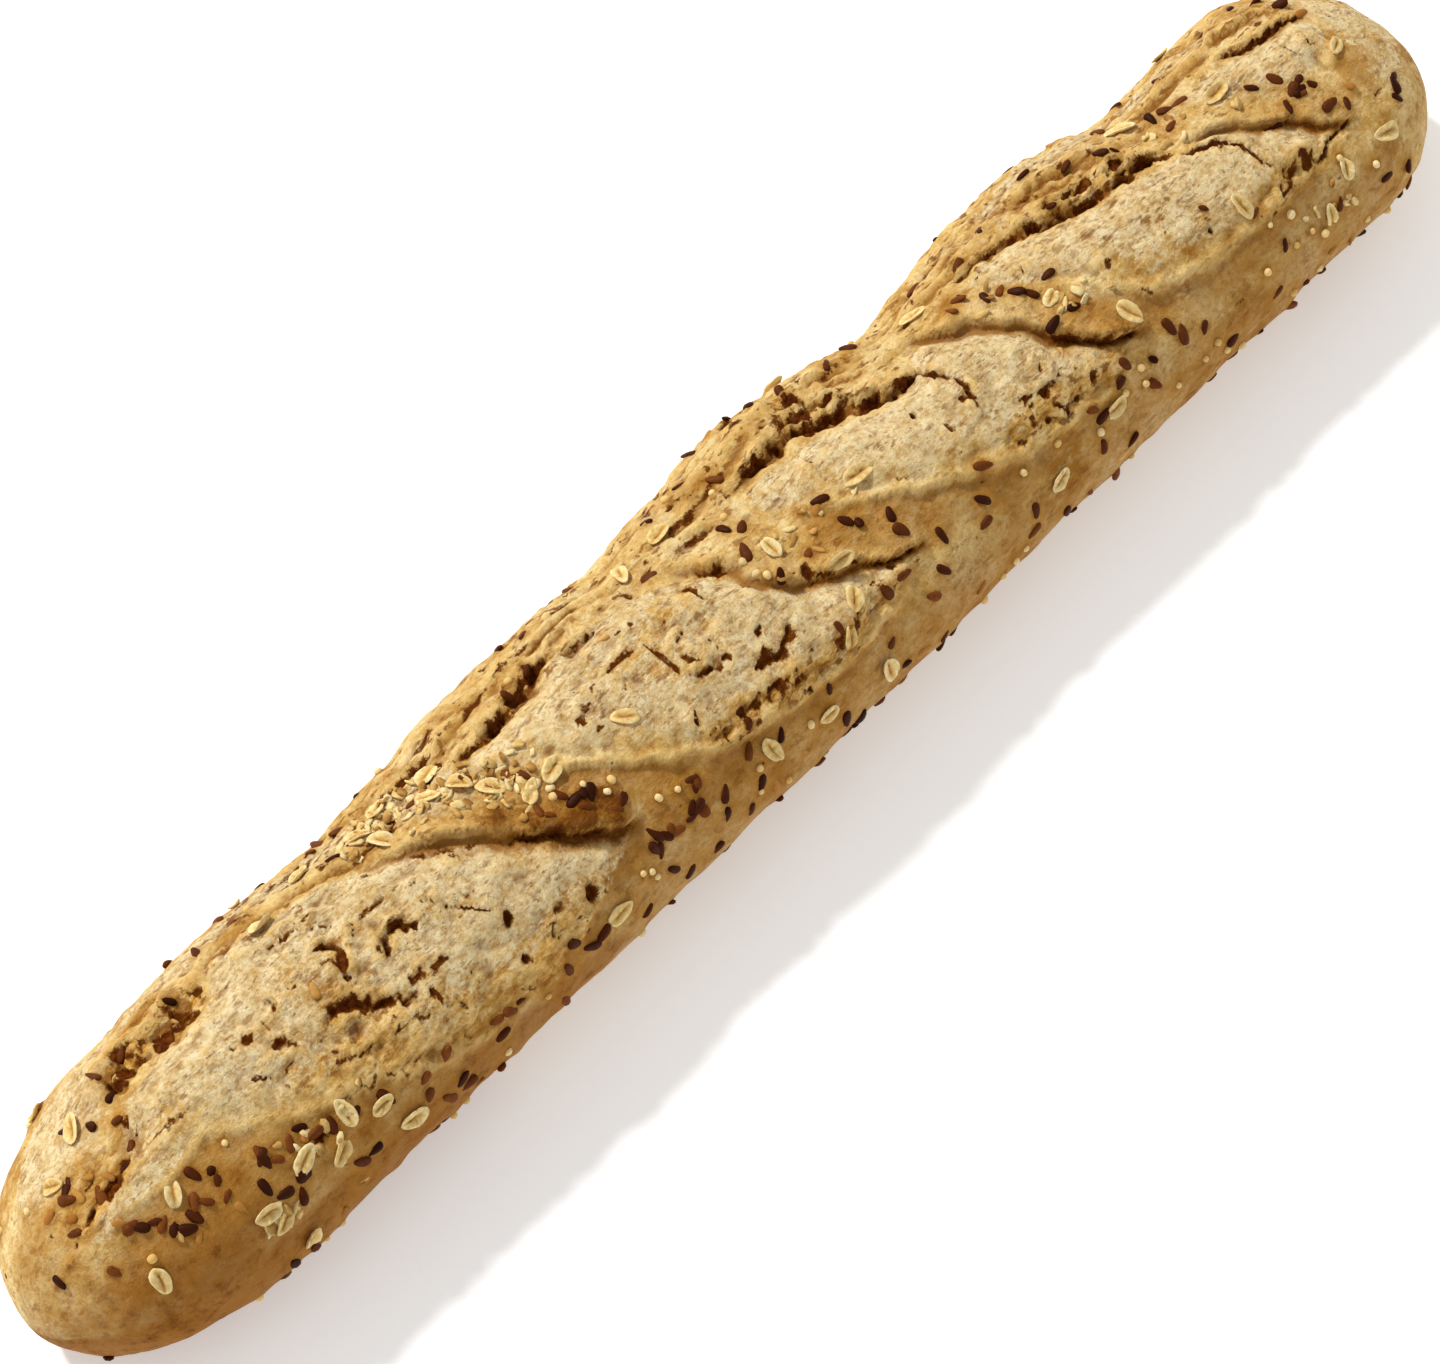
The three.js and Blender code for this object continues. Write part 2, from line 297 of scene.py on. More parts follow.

# cracks in the crumb: half width in millimetres, how dark their painted shade is and how rough they are, and
# the line
cracks = [
    [1.7, 1, 0.9, [[-225, -10], [-219, -6], [-214, -4], [-208, -3], [-203, 1]]],
    [0.6, 0.4, 1, [[-203, 2], [-200, 8], [-197, 15]]],
    [1, 0.3, 1, [[-206, -1], [-198, -4], [-190, -5], [-184, -9]]],
    [1.3, 0.75, 1, [[-171, 2], [-165, -4], [-163, -8], [-159, -16], [-157, -17]]],
    [2.1, 1, 0.8, [
        [-155, -15], [-150, -17], [-145, -17], [-142, -23], [-138, -27], [-134, -27], [-129, -28],
    ]],
    [1.3, 0.9, 1, [[-148, -13], [-146, -18], [-143, -20]]],
    [1.3, 1, 0.5, [[-143, 4], [-140, 5], [-138, 3], [-137, -1], [-139, -5], [-141, -10], [-141, -13]]],
    [1.4, 1, 0.7, [[-131, -19], [-130, -13], [-127, -10], [-123, -9], [-120, -12], [-121, -17]]],
    [0.65, 0.7, 1, [[-119, 1], [-117, -1], [-115, -8], [-112, -14], [-109, -21], [-105, -27], [-101, -33]]],
    [0.8, 0.7, 0.6, [[-158, 6], [-157, 0], [-157, -4]]],
    [0.6, 0.4, 1, [[-178, 4], [-172, 1], [-168, -3]]],
    [0.8, 0.6, 1, [[-128, 6], [-122, 2], [-118, 1]]],
    [0.9, 0.5, 1, [[-132, -28], [-125, -30], [-118, -28]]],
    [0.7, 0.4, 1, [[-176, -12], [-168, -16], [-160, -22]]],
    [1, 0.7, 1, [[-151, 18], [-148, 20], [-144, 18], [-141, 20], [-138, 16], [-135, 12], [-133, 8]]],
    [1.4, 0.9, 1, [[-109, 38], [-100, 39], [-94, 39], [-87, 39], [-82, 36]]],
    [0.9, 0.45, 1, [[-166, -40], [-156, -43], [-147, -48], [-138, -56]]],
    [0.8, 0.35, 1, [[-158, -28], [-148, -35], [-137, -38], [-128, -44]]],
    [0.8, 0.3, 1, [[-110, 10], [-104, 4], [-98, -3], [-93, -8]]],
    [1.1, 0.8, 0.8, [[-93, -10], [-86, -17], [-80, -24], [-74, -33], [-66, -41]]],
    [0.9, 0.65, 1, [[-45, 4], [-40, 7], [-36, 5], [-33, 8]]],
    [0.7, 0.55, 1, [[-34, 8], [-31, 3], [-32, -6], [-31, -16]]],
    [0.9, 0.8, 1, [[-31, -15], [-27, -20], [-22, -21], [-18, -20]]],
    [0.6, 0.5, 1, [[-28, -8], [-27, -13], [-25, -19]]],
    [0.6, 0.5, 1, [[-21, -10], [-20, -15], [-22, -20]]],
    [1.3, 0.75, 1, [[-22, -26], [-17, -31], [-12, -32], [-7, -33], [-3, -28], [-1, -24]]],
    [0.9, 0.7, 1, [[-16, 14], [-14, 9], [-13, 3]]],
    [0.7, 0.7, 1, [[-10, 17], [-6, 11], [-3, 3]]],
    [0.8, 0.35, 1, [[-62, 3], [-56, 0], [-50, 3], [-44, 5]]],
    [0.8, 0.4, 1, [[-37, 18], [-31, 15], [-27, 11]]],
    [1.1, 0.6, 1, [[-33, -37], [-28, -40], [-24, -43], [-19, -42], [-12, -44], [-5, -43]]],
    [0.8, 0.85, 0.6, [
        [2, -12], [7, -13], [10, -18], [14, -25], [21, -29], [28, -37], [36, -43], [43, -45],
    ]],
    [0.8, 0.9, 0.4, [[67, 10], [70, 4], [71, -4], [72, -12], [73, -19]]],
    [1.1, 0.6, 1, [[75, -22], [79, -26], [84, -30], [90, -30], [96, -27]]],
    [0.7, 0.3, 1, [[44, -10], [42, -15], [44, -21]]],
    [0.8, 0.85, 0.5, [[97, -10], [101, -20], [106, -30], [112, -37], [120, -43]]],
    [0.9, 1, 0.3, [[156, 4], [160, -1], [165, -6], [170, -13], [172, -20], [173, -28], [173, -35]]],
    [0.7, 0.8, 0.4, [[180, -38], [185, -40], [190, -37], [196, -36], [204, -37]]],
    [1.6, 0.7, 1, [[173, -32], [177, -35], [182, -38], [188, -37]]],
    [0.7, 0.6, 1, [[180, -14], [183, -18], [187, -22]]],
    [0.9, 0.4, 1, [[160, -32], [161, -38], [164, -42], [170, -46]]],
]

# short nicks strewn over the openings, turned every way: how many in each, and their measures
nicks = {
    "counts": (17, 12, 6, 7, 2), "fromEdge": 2.5, "reach": (1.5, 3.4), "bow": 0.8, "halfWidth": (0.4, 0.75),
    "dark": (0.35, 0.8), "rough": 0.6, "roundStretch": 1.7, "seed": 21,
}


def strewNicks():
    chance = np.random.default_rng(nicks["seed"])
    for opening, count in zip(openings, nicks["counts"]):
        outline = opening["outline"]
        places = chance.uniform(np.min(outline, 0), np.max(outline, 0), (40 * count, 2))
        deep = depthInside(unrolled(places).T, outline) > nicks["fromEdge"]
        for middle in places[deep][:count]:
            turn = chance.uniform(0, np.pi)
            heading = np.array([np.cos(turn), nicks["roundStretch"] * np.sin(turn)])
            reach = chance.uniform(*nicks["reach"]) * heading
            bow = chance.normal(0, nicks["bow"], 2)
            halfWidth = chance.uniform(*nicks["halfWidth"])
            line = [middle - reach, middle + bow, middle + reach]
            cracks.append([halfWidth, chance.uniform(*nicks["dark"]), nicks["rough"], line])


strewNicks()

# long folds of the crust: how high they stand, how dark the painted shade in the groove below them is, and
# the line
folds = [
    [1.5, 0.8, [[-168, 33], [-161, 40], [-152, 45], [-142, 43], [-132, 37], [-122, 30], [-112, 22]]],
    [0.7, 0.35, [[-72, -3], [-62, -15], [-54, -26], [-46, -34], [-38, -42], [-30, -49]]],
    [0.5, 0.45, [[-34, -48], [-22, -50], [-10, -55], [4, -54]]],
    [0.5, 0.3, [[38, -20], [48, -27], [58, -34], [68, -40], [76, -43]]],
    [0.7, 0.35, [[118, -24], [124, -30], [132, -36], [142, -38], [152, -39]]],
    [0.6, 0.6, [[112, -22], [117, -29], [123, -33], [130, -38]]],
    [1.5, 1, [[-88, 36], [-74, 38], [-58, 43], [-42, 45], [-26, 40], [-16, 34]]],
    [1.4, 0.55, [[-16, 42], [-2, 36], [12, 36], [24, 42], [40, 47], [56, 42], [66, 34]]],
    [1.4, 0.45, [[78, 40], [92, 36], [106, 38], [122, 42], [138, 36], [150, 28]]],
    [1.3, 0.75, [[156, 30], [170, 30], [184, 34], [198, 32], [210, 24]]],
    [0.9, 0.6, [[-196, 42], [-184, 45], [-172, 46], [-160, 50]]],
]

# rises and dips of the crust: [x, degrees, length, width, mm]
mounds = [
    [-209, -13, 12, 5, 1.5], [-203, 1, 11, 3.5, -1.3], [-219, -4, 6, 2.6, -1], [-184, 5, 12, 8, 0.8],
    [-145, -24, 8, 3, -0.8], [-136, -6, 5, 4, 0.7], [-150, 2, 8, 5, 0.8], [-26, -8, 7, 8, 0.8],
    [-60, 10, 12, 6, 0.8], [96, 30, 10, 6, 0.8],
]

# single holes: [x, degrees, radius]
holes = [
    [-145, -18, 1.5], [-141, -11, 1.1], [-122, -11, 1.2], [-84, -52, 1.5], [-106, -52, 1.4],
    [-103, -35, 1.5], [-169, -47, 1.6], [-57, -2, 0.9], [9, -17, 1.7], [86, -31, 1.1], [148, -31, 0.9],
    [58, -3, 0.8], [152, 11, 1.8], [145, 10, 1.6], [-93, 40, 1.8], [-89, 38, 1.6], [-71, 23, 1.8],
    [40, 27, 2], [30, 28, 1.6], [44, 42, 1.6], [-170, 30, 1.9], [-178, 26, 1.5], [-187, 38, 1.6],
    [-163, 33, 1.3], [-52, 33, 1.8],
]

# stretches of the openings where the crumb is golden and rough, with little flour: how much so, and the ring
goldenPatches = [
    [0.55, [
        [-178, -22], [-162, -24], [-152, -21], [-142, -28], [-132, -31], [-118, -40], [-88, -43],
        [-64, -42], [-90, -67], [-102, -74], [-127, -67], [-152, -46],
    ]],
    [1, [[-42, -34], [-24, -36], [0, -40], [20, -44], [38, -45], [10, -56], [-10, -58], [-34, -46]]],
    [0.85, [[72, -26], [85, -28], [100, -32], [117, -41], [100, -51], [82, -48], [66, -40]]],
    [0.7, [[172, -28], [188, -33], [200, -37], [186, -45], [166, -46], [158, -38]]],
    [0.75, [[-160, 36], [-150, 42], [-134, 36], [-120, 26], [-128, 22], [-142, 30]]],
    [0.6, [[-226, 10], [-212, 18], [-204, 12], [-206, 2], [-216, -2], [-224, -6]]],
    [0.34, [
        [-168, -6], [-158, 8], [-146, 20], [-136, 12], [-118, 2], [-112, -16], [-122, -30], [-146, -34],
        [-162, -26],
    ]],
    [0.45, [[-48, 4], [-40, 14], [-30, 14], [-16, 18], [-10, 4], [-16, -22], [-30, -28], [-38, -12]]],
    [0.25, [[-218, 4], [-208, 10], [-200, 8], [-190, 0], [-182, -6], [-192, -6], [-206, -2], [-216, -4]]],
    [0.5, [[-84, 30], [-66, 34], [-48, 38], [-36, 26], [-46, 22], [-60, 22], [-76, 20]]],
]

# stretches outside the openings where the crust is pale and a little floury
palePatches = [
    [0.9, [[-226, 20], [-214, 14], [-203, 16], [-190, 24], [-182, 42], [-188, 60], [-210, 68], [-224, 46]]],
    [1.1, [[-118, 36], [-106, 24], [-96, 12], [-88, 6], [-79, 10], [-84, 28], [-98, 40], [-112, 46]]],
    [1.1, [[172, 14], [186, 15], [202, 11], [209, 5], [207, -8], [196, -8], [184, -2], [176, 7]]],
    [0.72, [[204, 20], [216, 6], [214, -12], [208, -30], [224, -50], [238, -20], [238, 30], [222, 48]]],
    [0.85, [
        [-192, 46], [-172, 45], [-150, 48], [-130, 44], [-112, 38], [-98, 46], [-118, 60], [-160, 66],
        [-194, 60],
    ]],
    [0.85, [[92, 33], [110, 35], [128, 31], [146, 25], [152, 34], [140, 46], [110, 48], [92, 42]]],
    [0.8, [[112, 44], [130, 44], [152, 38], [170, 36], [196, 38], [204, 52], [160, 60], [114, 58]]],
    [1.15, [
        [-222, -14], [-215, -5], [-206, -4], [-196, -8], [-187, -14], [-198, -18], [-208, -19], [-218, -21],
    ]],
]

# stretches of crust baked browner
brownPatches = [
    [0.75, [
        [-96, -26], [-84, -22], [-74, -32], [-62, -40], [-50, -36], [-38, -47], [-18, -54], [6, -55],
        [4, -62], [-30, -64], [-60, -66], [-86, -60],
    ]],
    [0.6, [
        [-212, -30], [-190, -26], [-168, -44], [-146, -56], [-128, -72], [-150, -90], [-200, -80],
        [-222, -56],
    ]],
    [0.85, [
        [-218, -22], [-206, -20], [-194, -22], [-182, -32], [-184, -42], [-196, -46], [-208, -44],
        [-219, -34],
    ]],
    [0.75, [[-235, -40], [-227, -32], [-219, -42], [-224, -58], [-233, -56]]],
    [0.9, [[-200, -74], [-160, -68], [-120, -72], [-84, -72], [-70, -90], [-90, -110], [-190, -110]]],
    [0.55, [[90, -56], [130, -60], [200, -52], [214, -60], [200, -84], [90, -92]]],
]

# the noises that roughen the crust: size in millimetres, seed, layers, and the scale of x, small where the
# noise is drawn out along the loaf
crustNoises = {
    "wanderX": (7, 11, 3, 1),
    "wanderRound": (7, 21, 3, 1),
    "ragged": (3.4, 25, 2, 1),
    "broken": (2.6, 31, 2, 1),
    "crumbs": (1.7, 34, 2, 1),
    "clots": (4.6, 35, 3, 1),
    "swells": (16, 41, 3, 1),
    "dimples": (5, 44, 2, 1),
    "lumps": (9, 51, 3, 1),
    "strands": (2.8, 61, 3, 0.4),
    "streaks": (3.2, 67, 3, 0.2),
    "pleats": (2.2, 71, 3, 0.3),
    "pores": (2.3, 81, 2, 0.7),
    "ridgeGaps": (18, 95, 2, 1),
    "rimGaps": (14, 99, 2, 1),
}


# the loaf with no openings: half an oval above the waist and half a deeper one below it, shrunk to the tips
# by a quarter ellipse, and cut flat where it would pass below 0
def plainLoaf(x, degrees):
    shape = loafShape
    near = np.clip((shape["nearCap"] - (x + shape["length"] / 2)) / shape["nearCap"], 0, 1)
    far = np.clip((shape["farCap"] - (shape["length"] / 2 - x)) / shape["farCap"], 0, 1)
    cap = np.sqrt(1 - np.maximum(near, far) ** 2)
    angle = np.radians(degrees)
    swell = easedCurve(sideSwell, x) * ease(degrees, 15, 55) * (1 - ease(degrees, 120, 165))
    rise = np.where(np.cos(angle) > 0, shape["crownRise"], shape["bellyDrop"])
    y = (shape["halfWidth"] + swell) * cap * np.sin(angle) - shape["tipSwing"] * (1 - cap) + shape["middleY"]
    z = shape["waistHeight"] - shape["tipDroop"] * (1 - cap) + (rise + swell) * cap * np.cos(angle)
    return np.stack([x, y, np.maximum(z, 0)], 1), cap


def unit(vectors):
    return vectors / (np.linalg.norm(vectors, axis=1)[:, None] + 1e-9)


# difference of a surface from a step before each x to a step after it, staying within half the length
def alongDifference(surface, x, degrees, step, half):
    before, after = [surface(np.clip(x + move, -half, half), degrees)[0] for move in (-step, step)]
    return after - before


# directions along, round and out of the plain loaf, from the difference of it a little to each side
def plainDirections(x, degrees, cap):
    step = 1.5
    along = alongDifference(plainLoaf, x, degrees, step, loafShape["length"] / 2)
    around = plainLoaf(x, degrees + step)[0] - plainLoaf(x, degrees - step)[0]
    tip = cap < 0.12
    along[tip] = [0, 0, 1]
    around[tip] = [0, 1, 0]
    along = unit(along)
    around = unit(around)
    outward = np.cross(along, around)
    outward[tip] = np.stack([np.sign(x[tip]), 0 * x[tip], 0 * x[tip]], 1)
    return along, around, unit(outward)


# Crust being baked: its points on the plain loaf, the noises there, and the values that its features raise.
# A hollow is 1 in the middle of a crack or hole and 0 at its edge, and sets how dark the painted shade there
# is.
class Crust:
    def __init__(self, x, degrees):
        self.x = x
        self.degrees = degrees
        self.flat, self.cap = plainLoaf(x, degrees)
        for name, (size, seed, layers, stretch) in crustNoises.items():
            setattr(self, name, roughNoise(self.flat * [stretch, 1, 1], size, seed, layers))
        self.place = (x + 1.1 * self.wanderX, toGirth(degrees) + 1.1 * self.wanderRound)
        self.unbroken = ease(self.rimGaps, -0.35, 0.15)
        self.height = 0.6 * self.swells + 0.2 * self.dimples
        self.slide = np.zeros((2, len(x)))
        self.hollow = np.full(len(x), -1.0)
        for name in ("dusting", "crumb", "toast", "wrinkled", "shade", "depth", "crest"):
            setattr(self, name, np.zeros(len(x)))

    # raises each named value to at least the given one
    def atLeast(self, **values):
        for name, value in values.items():
            setattr(self, name, np.maximum(getattr(self, name), value))

    # takes this share of the flour away
    def thin(self, share):
        self.dusting = self.dusting * (1 - share)


# the crust beside the openings is wrinkled and lumpy, most of all on the flaps of the +Y side, whose torn
# hollows are painted dark as shade
def wrinkleFlaps(crust):
    x = crust.x
    degrees = crust.degrees
    flaps = ease(degrees, 8, 30) * (1 - ease(degrees, 56, 98)) * ease(x, -190, -140) * (1 - ease(x, 205, 220))
    crust.flaps = flaps
    crust.height += flaps * (0.85 * crust.streaks + 0.32 * crust.clots)
    crust.height += 0.4 * flaps * crust.pleats
    rarer = 1.02 + 0.3 * ease(x, -30, 30) + 0.6 * ease(degrees, 40, 56)
    torn = np.minimum(flaps * (-1.7 * crust.streaks - 0.75 * crust.pleats - rarer), 0.5) - (1 - flaps)
    crown = ease(np.cos(np.radians(degrees - 8)), 0.35, 0.9)
    crust.atLeast(wrinkled=flaps, hollow=torn, dusting=0.36 * crown * ease(x, -234, -215))
    for amount, ring in palePatches:
        crust.atLeast(dusting=amount * ease(depthInside(crust.place, ring), -4, 5))


# a tear drops between a flap that stands up on its left hand and the crumb, and breaks up into crumbs
def tearCrust(crust, halfWidth, depth, line):
    away, along = nearLine(crust.place, line)
    ends = fadeEnds(along, 0.1)
    half = halfWidth * (0.45 + 0.55 * fadeEnds(along, 0.35)) * (1 + 0.45 * crust.clots)
    away = away + crust.ragged * 0.9
    inTear = ends * (1 - ease(np.abs(away), half * 0.6, half * 1.35))
    gap = ends * (0.85 - np.abs(away) / half) * min(1, 1.3 / halfWidth)
    gap += (1.2 * crust.broken + 0.9 * crust.crumbs) * inTear + (-0.3 if halfWidth > 3 else 0.04)
    crust.atLeast(hollow=np.where(inTear > 0.02, gap, -1), depth=0.7 * inTear * depth)
    crust.height -= 0.5 * depth * inTear
    crust.height += inTear * (0.8 * crust.clots + 0.6 * crust.broken) * (0.8 + 0.25 * halfWidth)
    flap = ends * ease(away, half * 0.5, half * 1.5) * (1 + 0.5 * crust.clots)
    crust.height += (0.5 + 0.45 * halfWidth) * flap * decay(away - half, 8)
    crust.slide[1] -= 0.9 * flap * decay(away - half, 3)
    crust.height -= 0.8 * ends * bell(away + half, 1.6)
    # a raised rim along the torn edge with a painted highlight on it, and a thin fold behind it
    # with painted shade in its groove
    rim = ends * crust.unbroken * bell(away - 1.2 * half - 0.5, 0.8)
    crust.height += 0.45 * rim
    behind = away - half - 6 + 1.4 * crust.clots
    folded = ends * crust.unbroken * ease(crust.x, -192, -176)
    crust.height += folded * (0.8 * bell(behind - 1.2, 1.1) - 0.5 * bell(behind, 0.9))
    crust.atLeast(crest=rim, shade=0.85 * folded * bell(behind, 0.8), crumb=inTear)
    crust.atLeast(crumb=0.8 * flap * (1 - ease(away, half, half + 5)), wrinkled=ends * bell(away - half, 6))
    crust.thin(0.9 * inTear)


# the ridge is a soft fold with a painted highlight along its top and painted shade just under it, and the
# crust below it is browner
def raiseRidge(crust, toRidge, ends, ridgeRise):
    away = toRidge + 0.35 * crust.ragged
    present = ends * (0.3 + 0.7 * ease(crust.ridgeGaps, -0.45, 0.15))
    rise = ridgeRise * ends
    crust.height += rise * 1.2 * ease(away, -3.4, 0.6) * decay(away, 9)
    crust.height += present * 0.55 * bell(away, 0.8) - rise * 0.5 * bell(away - 3, 1.6)
    below = ends * ease(-away, 0.4, 3) * (1 - ease(-away, 6, 18))
    crust.atLeast(crest=present * ridgeRise * bell(away, 1), toast=0.55 * below)
    crust.atLeast(shade=0.6 * present * rise * bell(away + 1.9, 0.9 + 0.4 * crust.clots))
    crust.thin(0.8 * below)
    crust.thin(0.55 * ends * bell(away + 0.5, 2.2))


# in an opening the crumb swells out, and flour lies thick under the tear and thins out towards the ridge
def openCrust(crust, opening):
    within = depthInside(crust.place, opening["outline"])
    inside = ease(within, 0, 5)
    crust.height += opening["lift"] * ease(within, -2, 10)
    crust.height += opening["lumps"] * inside * (crust.lumps + 0.35 * crust.clots)
    crust.height += 0.16 * inside * crust.broken
    toRidge, along = nearLine(crust.place, opening["ridge"])
    ends = fadeEnds(along)
    crust.atLeast(dusting=ease(within, -0.5, 3) * (1 - 0.6 * ends * (1 - ease(np.abs(toRidge), 2, 13))))
    for halfWidth, depth, line in opening["tears"]:
        tearCrust(crust, halfWidth, depth, line)
    raiseRidge(crust, toRidge, ends, opening["ridgeRise"])


def roughenGolden(crust, amount, ring):
    inside = amount * ease(depthInside(crust.place, ring) + 1.5 * crust.broken, -1.5, 3.5)
    pits = np.where(inside > 0.1, 0.9 * crust.broken - 0.9 * crust.streaks - 0.72, -1)
    crust.atLeast(crumb=inside, wrinkled=inside, hollow=pits * inside - (1 - inside))
    crust.height += inside * (0.55 * crust.clots + 0.3 * crust.strands)
    crust.thin(0.72 * inside)


# a fold steps up across its line, with a groove in front of it, and sinks back over 3.5 mm; its top gets a
# painted highlight and its groove painted shade
def foldCrust(crust, rise, dark, line):
    away, along = nearLine(crust.place, line)
    away = away + 0.5 * crust.ragged
    ends = fadeEnds(along, 0.15) * (0.45 + 0.55 * crust.unbroken)
    crust.height += rise * ends * (ease(away, -1.6, 0.5) * decay(away, 3.5))
    crust.height -= 0.45 * rise * ends * bell(away + 1.7, 1)
    crust.atLeast(crest=ends * bell(away, 0.9), shade=dark * ends * bell(away + 1.5, 1.1 + 0.6 * crust.clots))
    crust.thin(0.8 * ends * bell(away, 2.2))


# a lip steps up across its line and leans over it, and is browned along its edge and over its strip, with
# painted shade under it
def raiseLip(crust, lip):
    away, along = nearLine(crust.place, lip["line"])
    away = away + 0.5 * crust.ragged
    start, end = lip["fade"]
    ends = ease(along, 0, start) * (1 - ease(along, 1 - end, 1))
    over = ease(away, -0.8, 1.5) * (1 + 0.22 * crust.clots)
    strip = ends * over * (1 - ease(away, 9, 15))
    crust.height += ends * over * lip["height"] * decay(away, lip["reach"])
    crust.height -= ends * (1 - over) * lip["groove"] * bell(away, 3.6)
    crust.height += 0.25 * strip * crust.clots
    line = smoothLine(lip["line"])
    heading = (line[-1] - line[0]) / np.hypot(*(line[-1] - line[0]))
    push = lip["overhang"] * ends * over * decay(away, 3)
    crust.slide += [push * heading[1], -push * heading[0]]
    # painted shade under the overhang, fading in along the lip
    under = ends * ease(away, -lip["shade"] - 1, -0.8) * (1 - ease(away, -0.2, 1.4))
    # the strip is baked browner, laid in with the same colour as the painted shade
    browned = lip["browned"] * strip * ease(along, 0.25, 0.7) * (1 - ease(away, 5, 12))
    crust.atLeast(shade=under * (0.12 + 0.88 * ease(along, 0.2, 0.75)))
    crust.atLeast(shade=browned * (0.75 + 0.4 * crust.clots), wrinkled=0.6 * strip)
    crust.thin(np.where(away > 0, 0.5 * strip * ease(along, 0.2, 0.8), 0))
    edge = ends * ease(along, 0, 0.25) * bell(away - 0.6, 2)
    crust.thin(0.8 * edge)
    crust.atLeast(toast=min(1, lip["browned"]) * strip * (1 - ease(away, 4, 13)) * ease(along, 0.25, 0.75))
    crust.atLeast(toast=0.3 * edge)


# a crack is a gap of noisy width, painted dark as shade, one edge of which peels up
def crackCrust(crust, halfWidth, dark, rough, line):
    signed, along = nearLine(crust.place, line)
    ends = fadeEnds(along, 0.25)
    width = halfWidth * (0.55 + 0.45 * ends) * (1 + 0.6 * crust.clots)
    signed = signed + 0.7 * crust.ragged
    away = np.abs(signed)
    gap = (0.95 - away / width) * (0.35 + 0.65 * ends) - 0.6 * (1 - ends) - 0.05
    gap += rough * (0.95 * crust.broken + 0.5 * crust.crumbs)
    gap = np.where(away < 6, np.minimum(gap - (1 - dark) * 0.5, 0.15 + 0.7 * dark**2), -1)
    crust.atLeast(hollow=gap, depth=1.5 * dark * (away < 3 * width))
    crust.height += 0.9 * dark * ends * bell(signed - width - 1.1, 1.3)
    crust.height += 0.3 * dark * ends * bell(signed + width + 1.3, 1.5)
    about = dark * ends * (1 - ease(away, width, width + 4))
    crust.height += 0.5 * about * crust.broken
    crust.atLeast(crumb=0.85 * about)
    crust.thin(0.45 * about)


def pierceCrust(crust, x, degrees, radius):
    reach = np.hypot(crust.place[0] - x, crust.place[1] - toGirth(degrees)) + 0.5 * crust.ragged
    crust.atLeast(hollow=1.15 - reach / radius + 0.4 * crust.broken, depth=1.8 * (reach < 2 * radius))


# pores, where the noise is highest, are commonest in rough crumb and on the flaps, and every hollow is sunk
def sinkHollows(crust):
    porous = np.maximum(0.95 * crust.crumb, 0.74 * crust.flaps * (1 - ease(crust.dusting, 0.55, 0.9)))
    crust.atLeast(hollow=np.minimum(1.35 * crust.pores - 1.5 + 0.9 * porous, 0.7), depth=0.8)
    crust.height -= crust.depth * ease(crust.hollow, -0.05, 0.8)
    crust.height += 0.35 * bell(crust.hollow + 0.35, 0.25) * ease(crust.crumb + 0.5 * crust.dusting, 0.1, 0.8)


# the near end is browner below, and so is the whole flank towards the oven floor
def brownCrust(crust):
    x = crust.x
    degrees = crust.degrees
    for amount, ring in brownPatches:
        crust.atLeast(toast=amount * ease(depthInside(crust.place, ring) + 1.5 * crust.clots, -5, 6))
    nearTip = ease(x + 6 * crust.clots, -238, -218)
    nearEnd = 1 - ease(x, -205, -160)
    crust.atLeast(toast=(0.56 + 0.4 * nearTip) * ease(-degrees + 8 * crust.clots, 10, 44) * nearEnd)
    crust.atLeast(toast=0.42 * (1 - ease(x, -232, -214)) * (1 - ease(degrees, 20, 45)))
    crust.atLeast(toast=0.95 * ease(-degrees, 58, 74) * (1 - ease(x, -130, -90)))
    nearSide = 0.58 * ease(-degrees, 46, 72) * (1 - 0.6 * ease(x, 195, 215))
    crust.atLeast(toast=nearSide + 0.45 * ease(degrees, 80, 110))
    bare = np.maximum(ease(-degrees, 40, 62), (1 - ease(x, -205, -180)) * ease(-degrees, 12, 34))
    crust.thin(bare * np.where(crust.crumb > 0.3, 0.5, 0.9))


# The baked crust: the plain loaf moved along its normal by the sum of the features, and along the crust
# where a lip overhangs. Also gives the values that colour it.
def bakedCrust(x, degrees):
    x = np.asarray(x, float)
    degrees = (np.asarray(degrees, float) + 180) % 360 - 180
    crust = Crust(x, degrees)
    wrinkleFlaps(crust)
    for opening in openings:
        openCrust(crust, opening)
    for patch in goldenPatches:
        roughenGolden(crust, *patch)
    for fold in folds:
        foldCrust(crust, *fold)
    for moundX, moundDegrees, length, width, rise in mounds:
        across = crust.place[1] - toGirth(moundDegrees)
        crust.height += rise * np.exp(-(((crust.place[0] - moundX) / length) ** 2) - (across / width) ** 2)
    for lip in lips:
        raiseLip(crust, lip)
    for crack in cracks:
        crackCrust(crust, *crack)
    for hole in holes:
        pierceCrust(crust, *hole)
    sinkHollows(crust)
    brownCrust(crust)

    # the features fade out at the very tips and where the loaf rests
    along, around, outward = plainDirections(x, degrees, crust.cap)
    free = ease(crust.flat[:, 2], 0.5, 9) * ease(crust.cap, 0, 0.5)
    height = crust.height * free
    points = crust.flat + outward * height[:, None]
    points += along * (crust.slide[0] * free)[:, None] + around * (crust.slide[1] * free)[:, None]
    points[:, 2] = np.maximum(points[:, 2], 0)
    names = ("dusting", "crumb", "toast", "wrinkled", "shade", "crest", "hollow")
    return points, outward, {name: getattr(crust, name) for name in names} | {"height": height}


